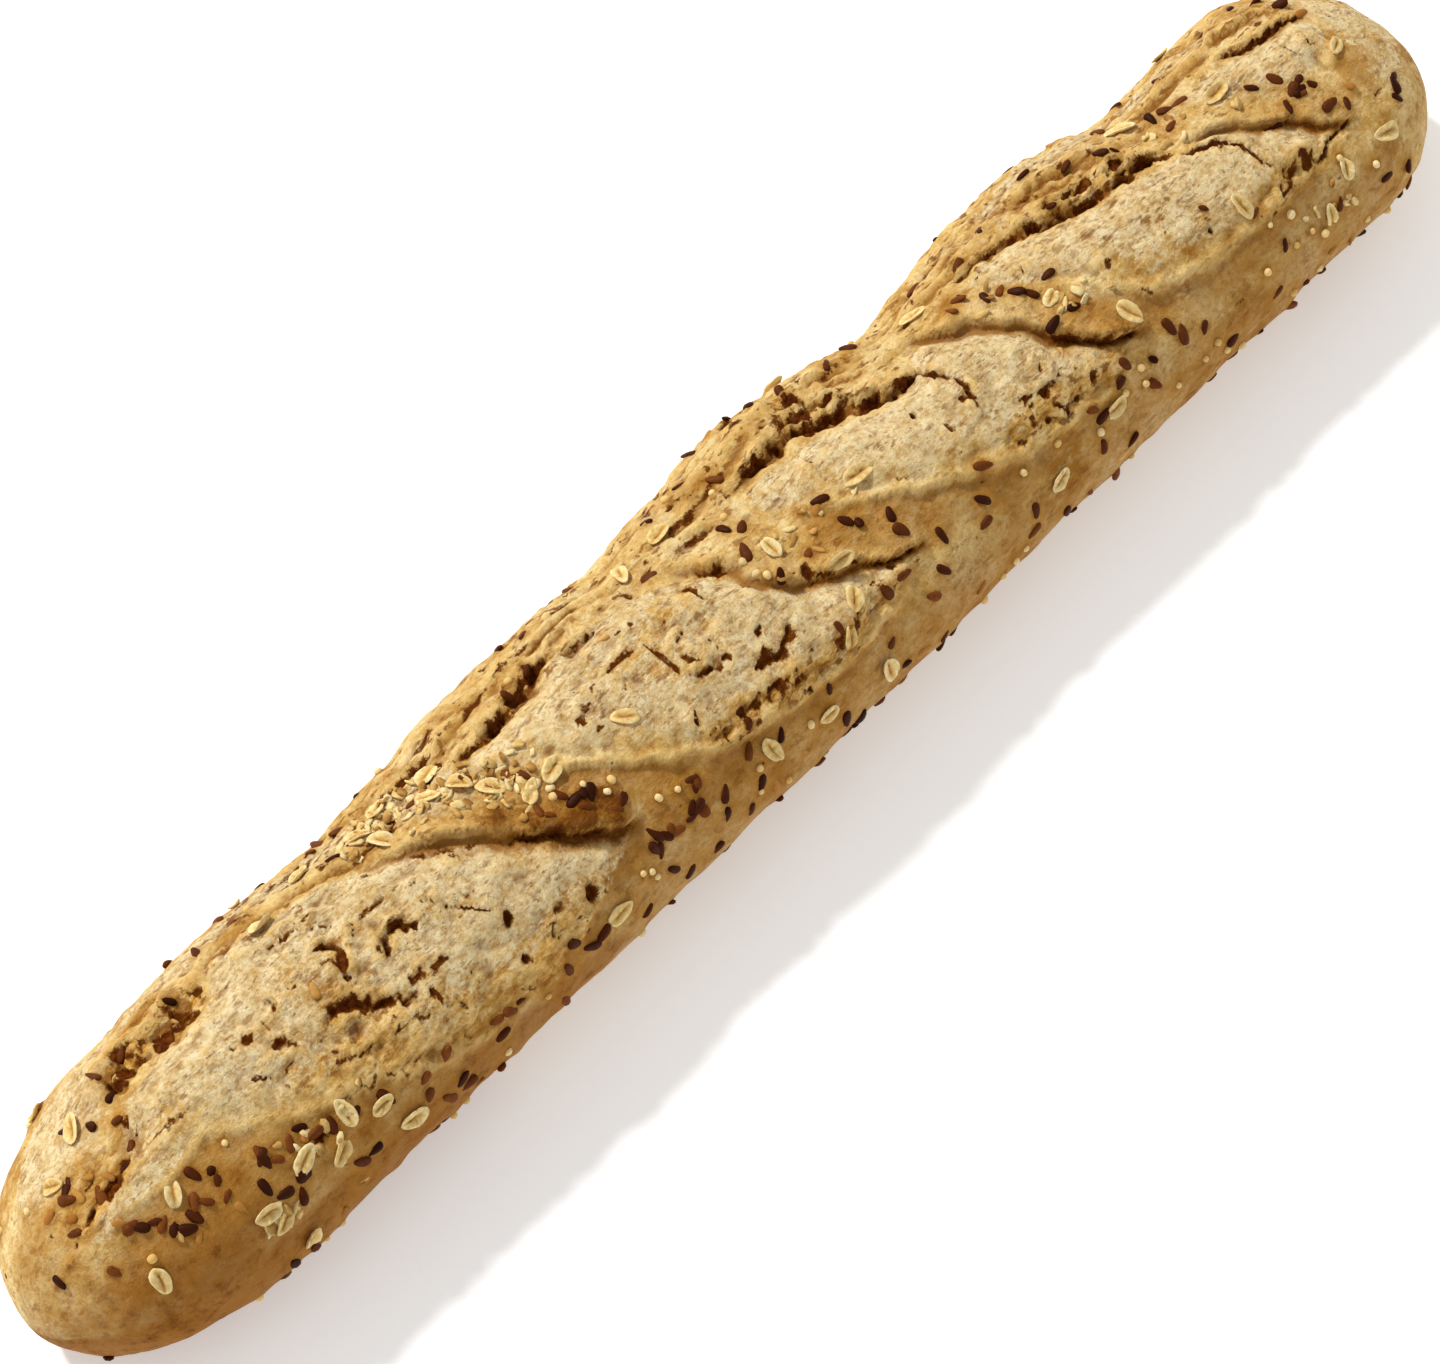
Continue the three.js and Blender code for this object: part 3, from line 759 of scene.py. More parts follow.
# puts points in millimetres and faces into a new mesh object, with values per point as attributes
def makePiece(name, points, faces, values, material):
    mesh = bpy.data.meshes.new(name)
    mesh.from_pydata((points / 1000).tolist(), [], faces)
    for key, value in values.items():
        mesh.attributes.new(key, "FLOAT", "POINT").data.foreach_set("value", value.astype(np.float32))
    mesh.shade_smooth()
    mesh.materials.append(material)
    piece = bpy.data.objects.new(name, mesh)
    scene.collection.objects.link(piece)
    return piece


# faces of a closed skin: the first pole, rings of columns points, and the last pole
def skinFaces(rings, columns):
    first = 1 + np.arange(rings - 1)[:, None] * columns + np.arange(columns)[None, :]
    second = 1 + np.arange(rings - 1)[:, None] * columns + (np.arange(columns)[None, :] + 1) % columns
    quads = np.stack([first, second, second + columns, first + columns], -1).reshape(-1, 4)
    ring = 1 + np.arange(columns)
    following = 1 + (np.arange(columns) + 1) % columns
    last = (rings - 1) * columns
    nearFan = np.stack([0 * ring, following, ring], 1)
    farFan = np.stack([0 * ring + 1 + rings * columns, ring + last, following + last], 1)
    return quads.tolist() + nearFan.tolist() + farFan.tolist()


# colour from sRGB numbers up to 255
def tint(red, green, blue):
    srgb = np.array([red, green, blue]) / 255
    linear = np.where(srgb < 0.04045, srgb / 12.92, ((srgb + 0.055) / 1.055) ** 2.4)
    return (*linear, 1)


# a new material with its node tree, and small helpers that add a node, mix two colours and scale a value
class Finish:
    def __init__(self, name, colours=None):
        self.colours = colours
        self.material = bpy.data.materials.new(name)
        self.material.use_nodes = True
        self.nodes = self.material.node_tree.nodes
        self.links = self.material.node_tree.links
        self.shader = self.nodes["Principled BSDF"]
        self.place = self.nodes.new("ShaderNodeTexCoord").outputs["Object"]

    def put(self, socket, value):
        if isinstance(value, bpy.types.NodeSocket):
            self.links.new(value, socket)
        elif value is not None:
            socket.default_value = value

    def noise(self, scale, detail=3, roughness=0.6, stretch=None):
        node = self.nodes.new("ShaderNodeTexNoise")
        place = self.place
        if stretch:
            mapping = self.nodes.new("ShaderNodeMapping")
            mapping.inputs["Scale"].default_value = (stretch, 1, 1)
            self.put(mapping.inputs["Vector"], place)
            place = mapping.outputs[0]
        self.put(node.inputs["Vector"], place)
        self.put(node.inputs["Scale"], scale)
        self.put(node.inputs["Detail"], detail)
        self.put(node.inputs["Roughness"], roughness)
        return node.outputs["Fac"]

    def mask(self, name):
        node = self.nodes.new("ShaderNodeAttribute")
        node.attribute_name = name
        return node.outputs["Fac"]

    def ramp(self, value, *stops):  # stops are (position, colour)
        node = self.nodes.new("ShaderNodeValToRGB")
        elements = node.color_ramp.elements
        while len(elements) < len(stops):
            elements.new(0.5)
        for element, (position, colour) in zip(elements, stops):
            element.position = position
            element.color = colour
        self.put(node.inputs["Fac"], value)
        return node.outputs["Color"]

    # runs a value through a colour's dark, plain and light tones
    def tones(self, value, name, low, middle, high):
        colour = self.colours
        stops = (low, colour[name + "Dark"]), (middle, colour[name]), (high, colour[name + "Light"])
        return self.ramp(value, *stops)

    def math(self, how, first, second):
        node = self.nodes.new("ShaderNodeMath")
        node.operation = how
        self.put(node.inputs[0], first)
        self.put(node.inputs[1], second)
        return node.outputs[0]

    def plus(self, first, second):
        return self.math("ADD", first, second)

    def times(self, first, second):
        return self.math("MULTIPLY", first, second)

    def range(self, value, low, high, to=(0, 1)):
        node = self.nodes.new("ShaderNodeMapRange")
        node.clamp = True
        for socket, number in zip(node.inputs, (value, low, high, *to)):
            self.put(socket, number)
        return node.outputs[0]

    def blend(self, under, over, amount):
        node = self.nodes.new("ShaderNodeMix")
        node.data_type = "RGBA"
        self.put(node.inputs["Factor"], amount)
        self.put(node.inputs[6], under)
        self.put(node.inputs[7], over)
        return node.outputs[2]

    # lays a colour over another by how a value lies between low and high
    def coat(self, under, over, value, low, high, to=(0, 1)):
        return self.blend(under, over, self.range(value, low, high, to))

    def bump(self, height, depth, strength=1, under=None):  # depth in metres
        node = self.nodes.new("ShaderNodeBump")
        self.put(node.inputs["Height"], height)
        self.put(node.inputs["Distance"], depth)
        self.put(node.inputs["Strength"], strength)
        if under is not None:
            self.put(node.inputs["Normal"], under)
        return node.outputs[0]


crustColours = {
    "goldenDark": (172, 120, 44),
    "golden": (222, 184, 111),
    "goldenLight": (242, 217, 156),
    "toastDark": (96, 46, 2),
    "toast": (150, 92, 18),
    "crumbDark": (148, 88, 14),
    "crumb": (216, 168, 84),
    "crumbLight": (244, 213, 150),
    "flourDark": (190, 148, 82),
    "flour": (219, 192, 140),
    "flourLight": (238, 220, 176),
    "speck": (122, 70, 10),
    # the next colour is both the brown of small pits and painted shade in the crust's hollows
    "pitAndHollowShade": (118, 60, 3),
    "shade": (106, 56, 3),
    "shadeLight": (182, 128, 52),
    # painted highlight for crests, rims, ridges and folds
    "crest": (234, 196, 124),
    # painted shade inside cracks, holes, tears and pores
    "hole": (86, 32, 2),
    "holeEdge": (126, 66, 6),
}
dullShine = 0.06  # specular level of everything baked


# crust, torn crumb, flour, painted shade and highlights, and hollows painted dark as shade, laid over each
# other by the crust's values, each with its own grain; an edge is drawn where a value, made ragged by fine
# noise, passes a level
def crustFinish():
    colour = {name: tint(*value) for name, value in crustColours.items()}
    make = Finish("baked crust", colour)
    mottle = make.noise(70, 5, 0.65)
    patch = make.noise(190, 5, 0.7)
    grain = make.noise(700, 5, 0.75)
    fine = make.noise(1900, 3, 0.65)
    strands = make.noise(430, 5, 0.7, 0.35)
    jitter = make.range(make.noise(520, 5, 0.75), 0.25, 0.75, (-1, 1))

    golden = make.tones(mottle, "golden", 0.34, 0.5, 0.66)
    golden = make.coat(golden, colour["goldenDark"], grain, 0.36, 0.56, (0.6, 0))
    golden = make.coat(golden, colour["goldenDark"], patch, 0.3, 0.46, (0.55, 0))
    golden = make.coat(golden, colour["goldenLight"], strands, 0.54, 0.68, (0, 0.6))
    toast = make.ramp(patch, (0.22, colour["toastDark"]), (0.46, colour["toast"]))
    skin = make.blend(golden, toast, make.times(make.mask("toast"), make.range(patch, 0.34, 0.62, (1, 0.9))))
    crumb = make.tones(strands, "crumb", 0.36, 0.5, 0.63)
    crumb = make.coat(crumb, colour["crumbDark"], grain, 0.36, 0.5, (0.55, 0))
    skin = make.coat(skin, crumb, make.plus(make.mask("crumb"), make.times(jitter, 0.2)), 0.15, 0.75)
    flour = make.tones(patch, "flour", 0.24, 0.47, 0.7)
    flour = make.coat(flour, colour["flourDark"], grain, 0.36, 0.5, (0.85, 0))
    flour = make.coat(flour, colour["flourLight"], grain, 0.53, 0.64, (0, 0.7))
    specks = make.times(make.range(strands, 0.36, 0.46, (0.85, 0)), make.range(mottle, 0.36, 0.56, (1, 0.5)))
    flour = make.blend(flour, colour["speck"], specks)
    flour = make.coat(flour, colour["speck"], make.noise(850, 3, 0.6, 0.4), 0.4, 0.33, (0, 0.65))
    # flour lies in grains: the thinner it is, the fewer of them
    thickness = make.plus(make.mask("dusting"), make.range(grain, 0.3, 0.7, (-0.32, 0.32)))
    thickness = make.plus(thickness, make.range(mottle, 0.3, 0.7, (-0.1, 0.1)))
    thickness = make.plus(thickness, make.range(make.noise(150, 4, 0.7, 0.5), 0.36, 0.5, (-0.24, 0)))
    dusted = make.range(thickness, 0.3, 0.72)
    skin = make.blend(skin, flour, dusted)

    # painted shade darkens the hollows and a painted highlight lightens the crests, by the shape of the crust
    # itself
    cavity = make.plus(make.mask("cavity"), make.times(jitter, 0.12))
    skin = make.coat(skin, colour["pitAndHollowShade"], cavity, -0.1, -0.7, (0, 0.75))
    untoasted = make.range(make.mask("toast"), 0, 0.6, (1, 0.15))
    skin = make.blend(skin, colour["crest"], make.times(make.range(cavity, 0.15, 0.6, (0, 0.45)), untoasted))
    # painted highlight along the torn rims, the ridges and the folds
    crests = make.times(make.mask("crest"), make.range(patch, 0.36, 0.6, (0, 0.55)))
    skin = make.blend(skin, colour["crest"], crests)
    pits = make.range(make.noise(400, 4, 0.6, 0.6), 0.43, 0.36)
    pits = make.times(pits, make.range(make.mask("wrinkled"), 0, 1, (0.4, 0.85)))
    skin = make.blend(skin, colour["pitAndHollowShade"], pits)
    # painted shade under lips and ridges and in the folds' grooves; the same colour carries the baked brown
    # of the lips' strips and, partly, of the crust round the seeds
    shade = make.times(make.mask("shade"), make.range(grain, 0.35, 0.6, (1.15, 0.7)))
    shadeColour = make.ramp(shade, (0.25, colour["shadeLight"]), (0.85, colour["shade"]))
    skin = make.coat(skin, shadeColour, shade, 0, 0.6, (0, 0.9))

    # hollows are painted dark as shade, from the hole-edge brown to the hole brown, with grain and strands
    # over it
    hollow = make.plus(make.mask("hollow"), make.times(jitter, 0.55))
    dark = make.range(hollow, 0, 0.75)
    inner = make.ramp(dark, (0.15, colour["holeEdge"]), (0.75, colour["hole"]))
    inner = make.coat(inner, colour["holeEdge"], grain, 0.46, 0.62, (0, 0.75))
    inner = make.coat(inner, colour["crumbDark"], strands, 0.52, 0.66, (0, 0.6))
    skin = make.coat(skin, inner, dark, 0.02, 0.3)
    make.put(make.shader.inputs["Base Color"], skin)

    rough = make.plus(make.range(dusted, 0, 1, (0.62, 0.95)), make.range(grain, 0.3, 0.7, (-0.06, 0.06)))
    make.put(make.shader.inputs["Roughness"], rough)
    make.put(make.shader.inputs["Specular IOR Level"], dullShine)
    normal = make.bump(dark, -0.001, 0.8)
    normal = make.bump(strands, 0.0012, make.range(make.mask("wrinkled"), 0, 1, (0.35, 0.9)), normal)
    normal = make.bump(patch, 0.0014, 0.55, normal)
    normal = make.bump(grain, 0.0008, make.range(dusted, 0, 1, (0.6, 0.7)), normal)
    normal = make.bump(fine, 0.00025, 0.7, normal)
    make.put(make.shader.inputs["Normal"], normal)
    return make.material


# a seed's colour runs through the stops by its own tone, with a little grain over it
def seedFinish(name, stops, roughness, grainScale, grainDepth):
    make = Finish(name)
    shades = [tint(*stop) for stop in stops]
    positions = np.linspace(0, 1, len(shades))
    body = make.ramp(make.mask("tone"), *zip(positions, shades))
    grain = make.noise(grainScale)
    make.put(make.shader.inputs["Base Color"], make.coat(body, shades[0], grain, 0.35, 0.7, (0, 0.35)))
    rough = make.range(grain, 0.3, 0.7, (roughness - 0.08, roughness + 0.08))
    make.put(make.shader.inputs["Roughness"], rough)
    make.put(make.shader.inputs["Normal"], make.bump(grain, grainDepth, 0.6))
    make.put(make.shader.inputs["Specular IOR Level"], dullShine)
    return make.material


brownPlaces = [
    [-176, -40], [-170, -44], [-187, -46], [-160, -50], [-152, -54], [-172, -38], [-218, 11], [-214, -3],
    [-206, -2], [-202, 1], [-63, -32], [-68, -22], [-72, -20], [-58, -57], [-50, -57], [-46, -48],
    [-209, -29], [-203, -35], [-194, -27], [-183, -36], [-74, -15], [-71, -25], [-79, -18], [-62, -53],
    [-64, -58], [-57, -59], [-53, -59], [-47, -49], [195, -14], [193, -12], [-223, -4], [-216, 13],
    [-214, -21], [-208, -33], [-199, -34], [-183, -38], [-232, -13], [-223, -31], [-213, -23], [-210, -26],
    [-206, -37], [-201, -31], [-197, -23], [-194, -31], [-195, -38], [-183, -34], [-181, -41], [-219, 8],
    [-204, 20], [-208, 31], [-195, 32], [-186, 38], [-184, -54], [-181, -61], [-178, -54], [-166, -46],
    [-165, -70], [-161, -70], [-142, -60], [-143, -68], [-135, -58], [-134, -76], [-133, -83], [-120, -64],
    [-120, -74], [-116, -66], [-112, -66], [-119, 33], [-97, 25], [-85, 14], [-83, 6], [-78, 3], [-76, 0],
    [-80, -14], [-69, -20], [-66, -33], [-60, -57], [-63, -61], [-51, -55], [-49, -59], [-47, -46],
    [-42, -62], [-44, -72], [-94, -63], [-98, -73], [-90, -73], [-86, -72], [-53, 36], [-62, 30],
    [-27, -38], [-28, -45], [-31, -55], [-22, -60], [-32, -73], [-5, -60], [5, 18], [8, 13], [3, 4],
    [4, -12], [5, -42], [14, -13], [25, -2], [26, -14], [28, -17], [35, -24], [34, -31], [42, -45],
    [21, -45], [27, -45], [37, -57], [31, -63], [16, -67], [56, -46], [53, -55], [67, -70], [65, -81],
    [18, -88], [87, 18], [91, 20], [95, 12], [99, 10], [101, 5], [103, 1], [110, 1], [61, -35], [94, -51],
    [96, -58], [104, -51], [115, -53], [112, -63], [101, -83], [77, -92], [92, -71], [124, -48], [126, -55],
    [132, -61], [140, -83], [139, 32], [132, 45], [147, 25], [150, 21], [127, 24], [164, 22], [168, 20],
    [172, 18], [165, 12], [186, 0], [192, -4], [194, -15], [196, -11], [198, -16], [189, -15], [197, -26],
    [201, -31], [183, -17], [176, 35], [212, 21], [217, -41], [219, -38], [215, -46], [164, -59],
    [184, -64], [200, -72], [10, 50], [8, 42], [15, 38], [58, 44], [44, 46], [112, 40], [100, 35],
]
goldenPlaces = [
    [-179, -36], [-172, -42], [-194, -46], [-166, -52], [-217, 5], [-222, 2], [-213, 7], [-221, -8],
    [-210, 0], [-215, -17], [-224, 12], [-228, -12], [-208, -36], [-205, -42], [-210, 13], [-94, 23],
    [-96, 20], [-148, -6], [16, -14], [20, 1], [23, -3], [45, -84], [19, -8], [-37, 17], [97, -24],
    [205, -26],
]
milletPlaces = [
    [-56, -42], [-51, -45], [-65, -26], [-62, -24], [-74, -11], [-75, -14], [-68, -18], [-14, -67],
    [-31, -65], [-33, -77], [69, -50], [81, -51], [156, -63], [167, -64], [173, -64], [176, -70],
    [170, -50], [198, -61], [129, -76], [134, -73], [111, -52], [104, -57], [110, -60], [-67, -71],
    [-68, -66], [-70, -63], [190, -46], [2, -8], [163, -46], [93, -63],
]
seeds = {
    "brown_linseeds": {
        "places": brownPlaces, "random": 105, "gap": 4.6, "size": (4.9, 2.6, 1.5), "taper": 0.28,
        "rings": 6, "columns": 7, "sink": 0.15, "tilt": 0.25,
        "shades": [(46, 16, 2), (76, 32, 7), (126, 68, 24)], "roughness": 0.5,
        "slot": "crust", "seed": 5,
    },
    "golden_linseeds": {
        "places": goldenPlaces, "random": 26, "gap": 4.6, "size": (4.2, 2.1, 1.1), "taper": 0.28,
        "rings": 6, "columns": 7, "sink": 0, "tilt": 0.2,
        "shades": [(156, 98, 38), (188, 134, 62), (212, 168, 98)], "roughness": 0.55,
        "slot": "oat", "seed": 6,
    },
    "millet_grains": {
        "places": milletPlaces, "random": 46, "gap": 3, "size": (2.1, 2, 1.9), "taper": 0,
        "rings": 5, "columns": 8, "sink": 0.35, "tilt": 0.3,
        "shades": [(216, 174, 96), (234, 202, 134), (244, 222, 168)], "roughness": 0.55,
        "slot": "oat", "seed": 7,
    },
}


# where random places may lie, and how many are tried for each seed
scatterReach = {"x": (-232, 234), "degrees": (-128, 128), "tries": 16}

# the share of random places that keep a seed: very few in the openings and on the tips, more down the sides
keptShares = {
    "crown": 0.3, "upperNearSide": 0.04, "lowerNearSide": 0.75, "farSide": 0.28, "openings": 0.015,
    "underneath": 0.3, "tips": 0.08,
}


# random places on the crust, at least gap apart
def scatterPlaces(count, gap, taken, chance):
    x = chance.uniform(*scatterReach["x"], count * scatterReach["tries"])
    degrees = chance.uniform(*scatterReach["degrees"], count * scatterReach["tries"])
    place = (x, toGirth(degrees))
    keep = np.full(len(x), keptShares["crown"])
    keep[degrees < -42] = keptShares["upperNearSide"]
    keep[degrees < -76] = keptShares["lowerNearSide"]
    keep[degrees > 36] = keptShares["farSide"]
    for opening in openings:
        keep[depthInside(place, opening["outline"]) > -1.5] = keptShares["openings"]
    keep[np.abs(degrees) > 115] = keptShares["underneath"]
    keep[(x < -200) | (x > 222)] = keptShares["tips"]
    chosen = chance.uniform(0, 1, len(x)) < keep
    spots = list(taken)
    found = []
    for spot in np.stack(place, 1)[chosen]:
        if len(found) == count:
            break
        if np.min(np.sum((np.array(spots) - spot) ** 2, axis=1)) > gap**2:
            spots.append(spot)
            found.append(spot)
    return np.array(found)


# every kind's places on the unrolled crust, the given ones first and then the random ones
def placeSeeds():
    taken = np.vstack([unrolled(kind["places"]) for kind in seeds.values()])
    for kind in seeds.values():
        kind["chance"] = np.random.default_rng(kind["seed"])
        found = scatterPlaces(kind["random"], kind["gap"], taken, kind["chance"])
        taken = np.vstack([taken, found])
        kind["spots"] = np.vstack([unrolled(kind["places"]), found])
    return taken


# how far each point of the grid stands out of the mean of its neighbours, in millimetres: positive on crests
def standOut(height, rings, columns):
    grid = height[1:-1].reshape(rings, columns)
    mean = grid.copy()
    for _ in range(10):
        mean = (np.roll(mean, 1, 1) + np.roll(mean, -1, 1) + 2 * mean) / 4
        padded = np.pad(mean, ((1, 1), (0, 0)), mode="edge")
        mean = (padded[:-2] + padded[2:] + 2 * mean) / 4
    return np.concatenate([[0], (grid - mean).ravel(), [0]])


# The loaf's grid: rings spaced evenly along the skin, round the two ends and down the body, and columns
# crowded towards the crown by c - k sin(pi c) / pi.
def buildLoaf(seedSpots):
    shape = loafShape
    half = shape["length"] / 2
    nearRings, bodyRings, farRings = shape["rings"]
    nearTurn = np.linspace(0, np.pi / 2, nearRings + 1)[1:]
    farTurn = np.linspace(np.pi / 2, 0, farRings + 1)[:-1]
    xs = np.concatenate([
        -half + shape["nearCap"] * (1 - np.cos(nearTurn)),
        np.linspace(-half + shape["nearCap"], half - shape["farCap"], bodyRings + 2)[1:-1],
        half - shape["farCap"] * (1 - np.cos(farTurn)),
    ])
    column = np.arange(shape["columns"]) / shape["columns"] * 2 - 1
    column = column - shape["columnCrowding"] / np.pi * np.sin(np.pi * column)
    turns = column * 180 + shape["columnCentre"]
    x = np.concatenate([[-half], np.repeat(xs, len(turns)), [half]])
    degrees = np.concatenate([[0], np.tile(turns, len(xs)), [0]])
    points, outward, values = bakedCrust(x, degrees)
    # how far each point stands out sets the painted shade in hollows and the painted highlight on crests
    values["cavity"] = standOut(values.pop("height"), len(xs), len(turns))
    # the crust rises round each seed and is darker there, partly baked browner and partly painted shade round
    # the seed, less so under flour
    wrapped = toGirth((degrees + 180) % 360 - 180)
    nearest = np.full(len(x), 99.0)
    for spotX, spotRound in seedSpots:
        nearest = np.minimum(nearest, np.hypot(x - spotX, wrapped - spotRound))
    points += outward * (0.45 * bell(nearest, 2.3) * ease(points[:, 2], 1, 6))[:, None]
    browned = 0.74 - 0.4 * np.clip(values["dusting"], 0, 1)
    values["shade"] = np.maximum(values["shade"], browned * bell(nearest, 2.7))
    loaf = makePiece("loaf_crust", points, skinFaces(len(xs), len(turns)), values, crustFinish())
    return loaf, points, outward


loaf, crustPoints, crustOutward = buildLoaf(placeSeeds())
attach(loaf, "root")
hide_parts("loaf")
print("loaf baked:", len(crustPoints), "points")


# frames on the crust at the given places: the point, and the directions along, round and out of it, from the
# difference of the crust a little to each side
def crustFrames(x, degrees, step=1.3):
    turn = fromGirth(step)
    middle = bakedCrust(x, degrees)[0]
    along = alongDifference(bakedCrust, x, degrees, step, loafShape["length"] / 2 - 1)
    around = bakedCrust(x, degrees + turn)[0] - bakedCrust(x, degrees - turn)[0]
    along = unit(along)
    out = unit(np.cross(along, around))
    return middle, along, np.cross(out, along), out


# many copies of one small shape: each copy is its template turned by spin about the crust's normal, tipped
# a little, scaled and set down on its place
def scatterCopies(template, spots, spin, scale, sink, tilt, chance):
    middle, along, across, out = crustFrames(spots[:, 0], fromGirth(spots[:, 1]))
    lean = chance.normal(0, tilt, (len(spots), 2))
    out = unit(out + along * lean[:, :1] + across * lean[:, 1:])
    long = along * np.cos(spin)[:, None] + across * np.sin(spin)[:, None]
    long = unit(long - out * (long * out).sum(1)[:, None])
    wide = np.cross(out, long)
    axes = np.stack([long, wide, out], 1) * scale[:, :, None]
    points = np.einsum("vk,nkc->nvc", template, axes) + (middle + out * sink[:, None])[:, None, :]
    return points.reshape(-1, 3)


def repeatFaces(faces, size, count):
    return [[corner + size * copy for corner in face] for copy in range(count) for face in faces]


# a seed 1 long and about 1 across: rings along its long axis, as wide as sin^0.8 and slimmer towards one end
# by taper
def seedTemplate(rings, columns, taper):
    t = np.arange(1, rings + 1) / (rings + 1) * np.pi
    angle = np.arange(columns) / columns * 2 * np.pi
    width = np.sin(t) ** 0.8 * (1 - taper * np.cos(t))
    ringX = np.repeat(-np.cos(t), columns)
    ringY = (width[:, None] * np.cos(angle)).ravel()
    ringZ = (width[:, None] * np.sin(angle)).ravel()
    body = np.stack([ringX, ringY, ringZ], 1)
    return np.vstack([[[-1, 0, 0]], body, [[1, 0, 0]]]) * 0.5, skinFaces(rings, columns)


for name, kind in seeds.items():
    chance = kind["chance"]
    count = len(kind["spots"])
    template, faces = seedTemplate(kind["rings"], kind["columns"], kind["taper"])
    scale = np.array(kind["size"]) * chance.uniform(0.8, 1.12, (count, 1))
    scale = scale * chance.uniform(0.92, 1.08, (count, 3))
    spin = chance.uniform(0, 2 * np.pi, count)
    sink = np.full(count, kind["sink"]) + chance.uniform(-0.12, 0.25, count)
    points = scatterCopies(template, kind["spots"], spin, scale, sink, kind["tilt"], chance)
    tone = np.repeat(chance.uniform(0, 1, count), len(template))
    finish = seedFinish(name.replace("_", " "), kind["shades"], kind["roughness"], 900, 0.0002)
    piece = makePiece(name, points, repeatFaces(faces, len(template), count), {"tone": tone}, finish)
    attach(piece, "root")
    print(name, count)

# a rolled oat flake, in millimetres; "above" is how far its middle stands off the crust
flakeShape = {
    "length": 7.6, "width": 4.3, "thickness": 0.9,
    "crease": 0.5, "curl": 1.1, "bend": 0.7, "rings": 7, "columns": 20, "ragged": 0.1,
    "sizes": (1, 0.86, 1.08, 0.92),
    "above": 0.25,
    "shades": [(140, 92, 38), (204, 160, 88), (234, 204, 134), (247, 228, 172)],
}


# An oat flake: an oval disc whose rim is ragged. Its edges curl up by curl v^2, its ends bend by bend u^2,
# and a crease runs down its length. It is cream at the rim and tan inside, and brown in the crease.
def flakePoints(size, chance):
    shape = flakeShape
    rings = shape["rings"]
    columns = shape["columns"]
    angle = np.arange(columns) / columns * 2 * np.pi
    waves = [[np.cos(k * angle), np.sin(k * angle)] for k in (2, 3, 5, 7)]
    wobble = sum(chance.normal(0, shape["ragged"] / k, 2) @ wave for k, wave in zip((2, 3, 5, 7), waves))
    turn = (np.arange(1, rings + 1) - 0.5) / rings * np.pi
    radius = np.sin(turn)[:, None] ** 0.7 * (1 + wobble)[None, :]
    u = radius * np.cos(angle)
    v = radius * np.sin(angle)
    top = np.cos(turn)[:, None] > 0
    up = np.cos(turn)[:, None] * shape["thickness"] / 2 * np.ones(columns)
    sway = chance.uniform(-0.15, 0.15)
    crease = bell(v - sway * u, 0.17) * (1 - u**2).clip(0, 1) * top
    curl = shape["curl"] * chance.uniform(0.1, 1.2)
    bend = shape["bend"] * chance.uniform(-1, 1)
    tip = chance.normal(0, 0.3)
    lift = curl * v**2 + bend * u**2 + tip * u - shape["crease"] * crease + chance.normal(0, 0.07, u.shape)
    body = [u * shape["length"] / 2 * size, v * shape["width"] / 2 * size, up + lift]
    body = np.stack(body, -1).reshape(-1, 3)
    tone = 0.62 + 0.38 * radius**3 - 0.6 * crease + chance.normal(0, 0.12, u.shape)
    tone = np.concatenate([[0.1], tone.ravel(), [0.4]])
    middle = [[0, 0, shape["thickness"] / 2 - shape["crease"]]]
    return np.vstack([middle, body, [[0, 0, -shape["thickness"] / 2]]]), tone.clip(0, 1)


# each flake lies where its solid does: the middle and the axes of the solid give its place and turn
def layFlakes():
    chance = np.random.default_rng(9)
    flakeFaces = [face[::-1] for face in skinFaces(flakeShape["rings"], flakeShape["columns"])]
    finish = seedFinish("rolled oats", flakeShape["shades"], 0.7, 800, 0.0003)
    names = sorted(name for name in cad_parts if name.startswith("oat_flake"))
    for number, name in enumerate(names):
        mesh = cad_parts[name].data
        solid = np.zeros(len(mesh.vertices) * 3, np.float32)
        mesh.vertices.foreach_get("co", solid)
        solid = solid.reshape(-1, 3).astype(float) * 1000
        middle = (solid.max(0) + solid.min(0)) / 2
        long, wide, out = np.linalg.svd(solid - solid.mean(0), full_matrices=False)[2]
        away = np.sum((crustPoints - middle) ** 2, axis=1)
        if out @ crustOutward[np.argmin(away)] < 0:
            out = -out
        wide = np.cross(out, long)
        # the flake is raised to lie on most of the crust right under it
        under = crustPoints[away < 4.5**2]
        beside = under - middle
        beside -= np.outer(beside @ out, out)
        close = under[np.sum(beside**2, axis=1) < 2.2**2]
        level = np.percentile(close @ out, 75) if len(close) else middle @ out
        middle = middle + out * (level - middle @ out + flakeShape["above"])
        points, tone = flakePoints(flakeShape["sizes"][number % 4], chance)
        points = points @ np.stack([long, wide, out]) + middle
        tone = tone * chance.uniform(0.7, 1.1)
        piece = makePiece(name + "_rolled", points, flakeFaces, {"tone": tone}, finish)
        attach(piece, "root")
        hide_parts(name)
    print("oat flakes", len(names))
    return finish


oatFinish = layFlakes()

# oat fragments lie thick along some lines of the crust: how many, how far they stray from it, and the line
fragmentTrails = [
    [150, 3.6, [[-114, 31], [-104, 33], [-97, 24], [-91, 25], [-87, 14], [-83, 6], [-78, -2]]],
    [9, 2.2, [[-194, -58], [-188, -60], [-184, -66]]],
    [9, 2.5, [[-172, -47], [-164, -52], [-158, -40]]],
    [12, 4, [[-2, -6], [8, -2], [18, -4], [26, -10]]],
    [12, 3, [[92, 14], [100, 4], [108, -6], [112, -20]]],
    [9, 3, [[160, 16], [168, 12], [180, 6]]],
    [7, 3, [[172, -52], [180, -60], [186, -66]]],
]


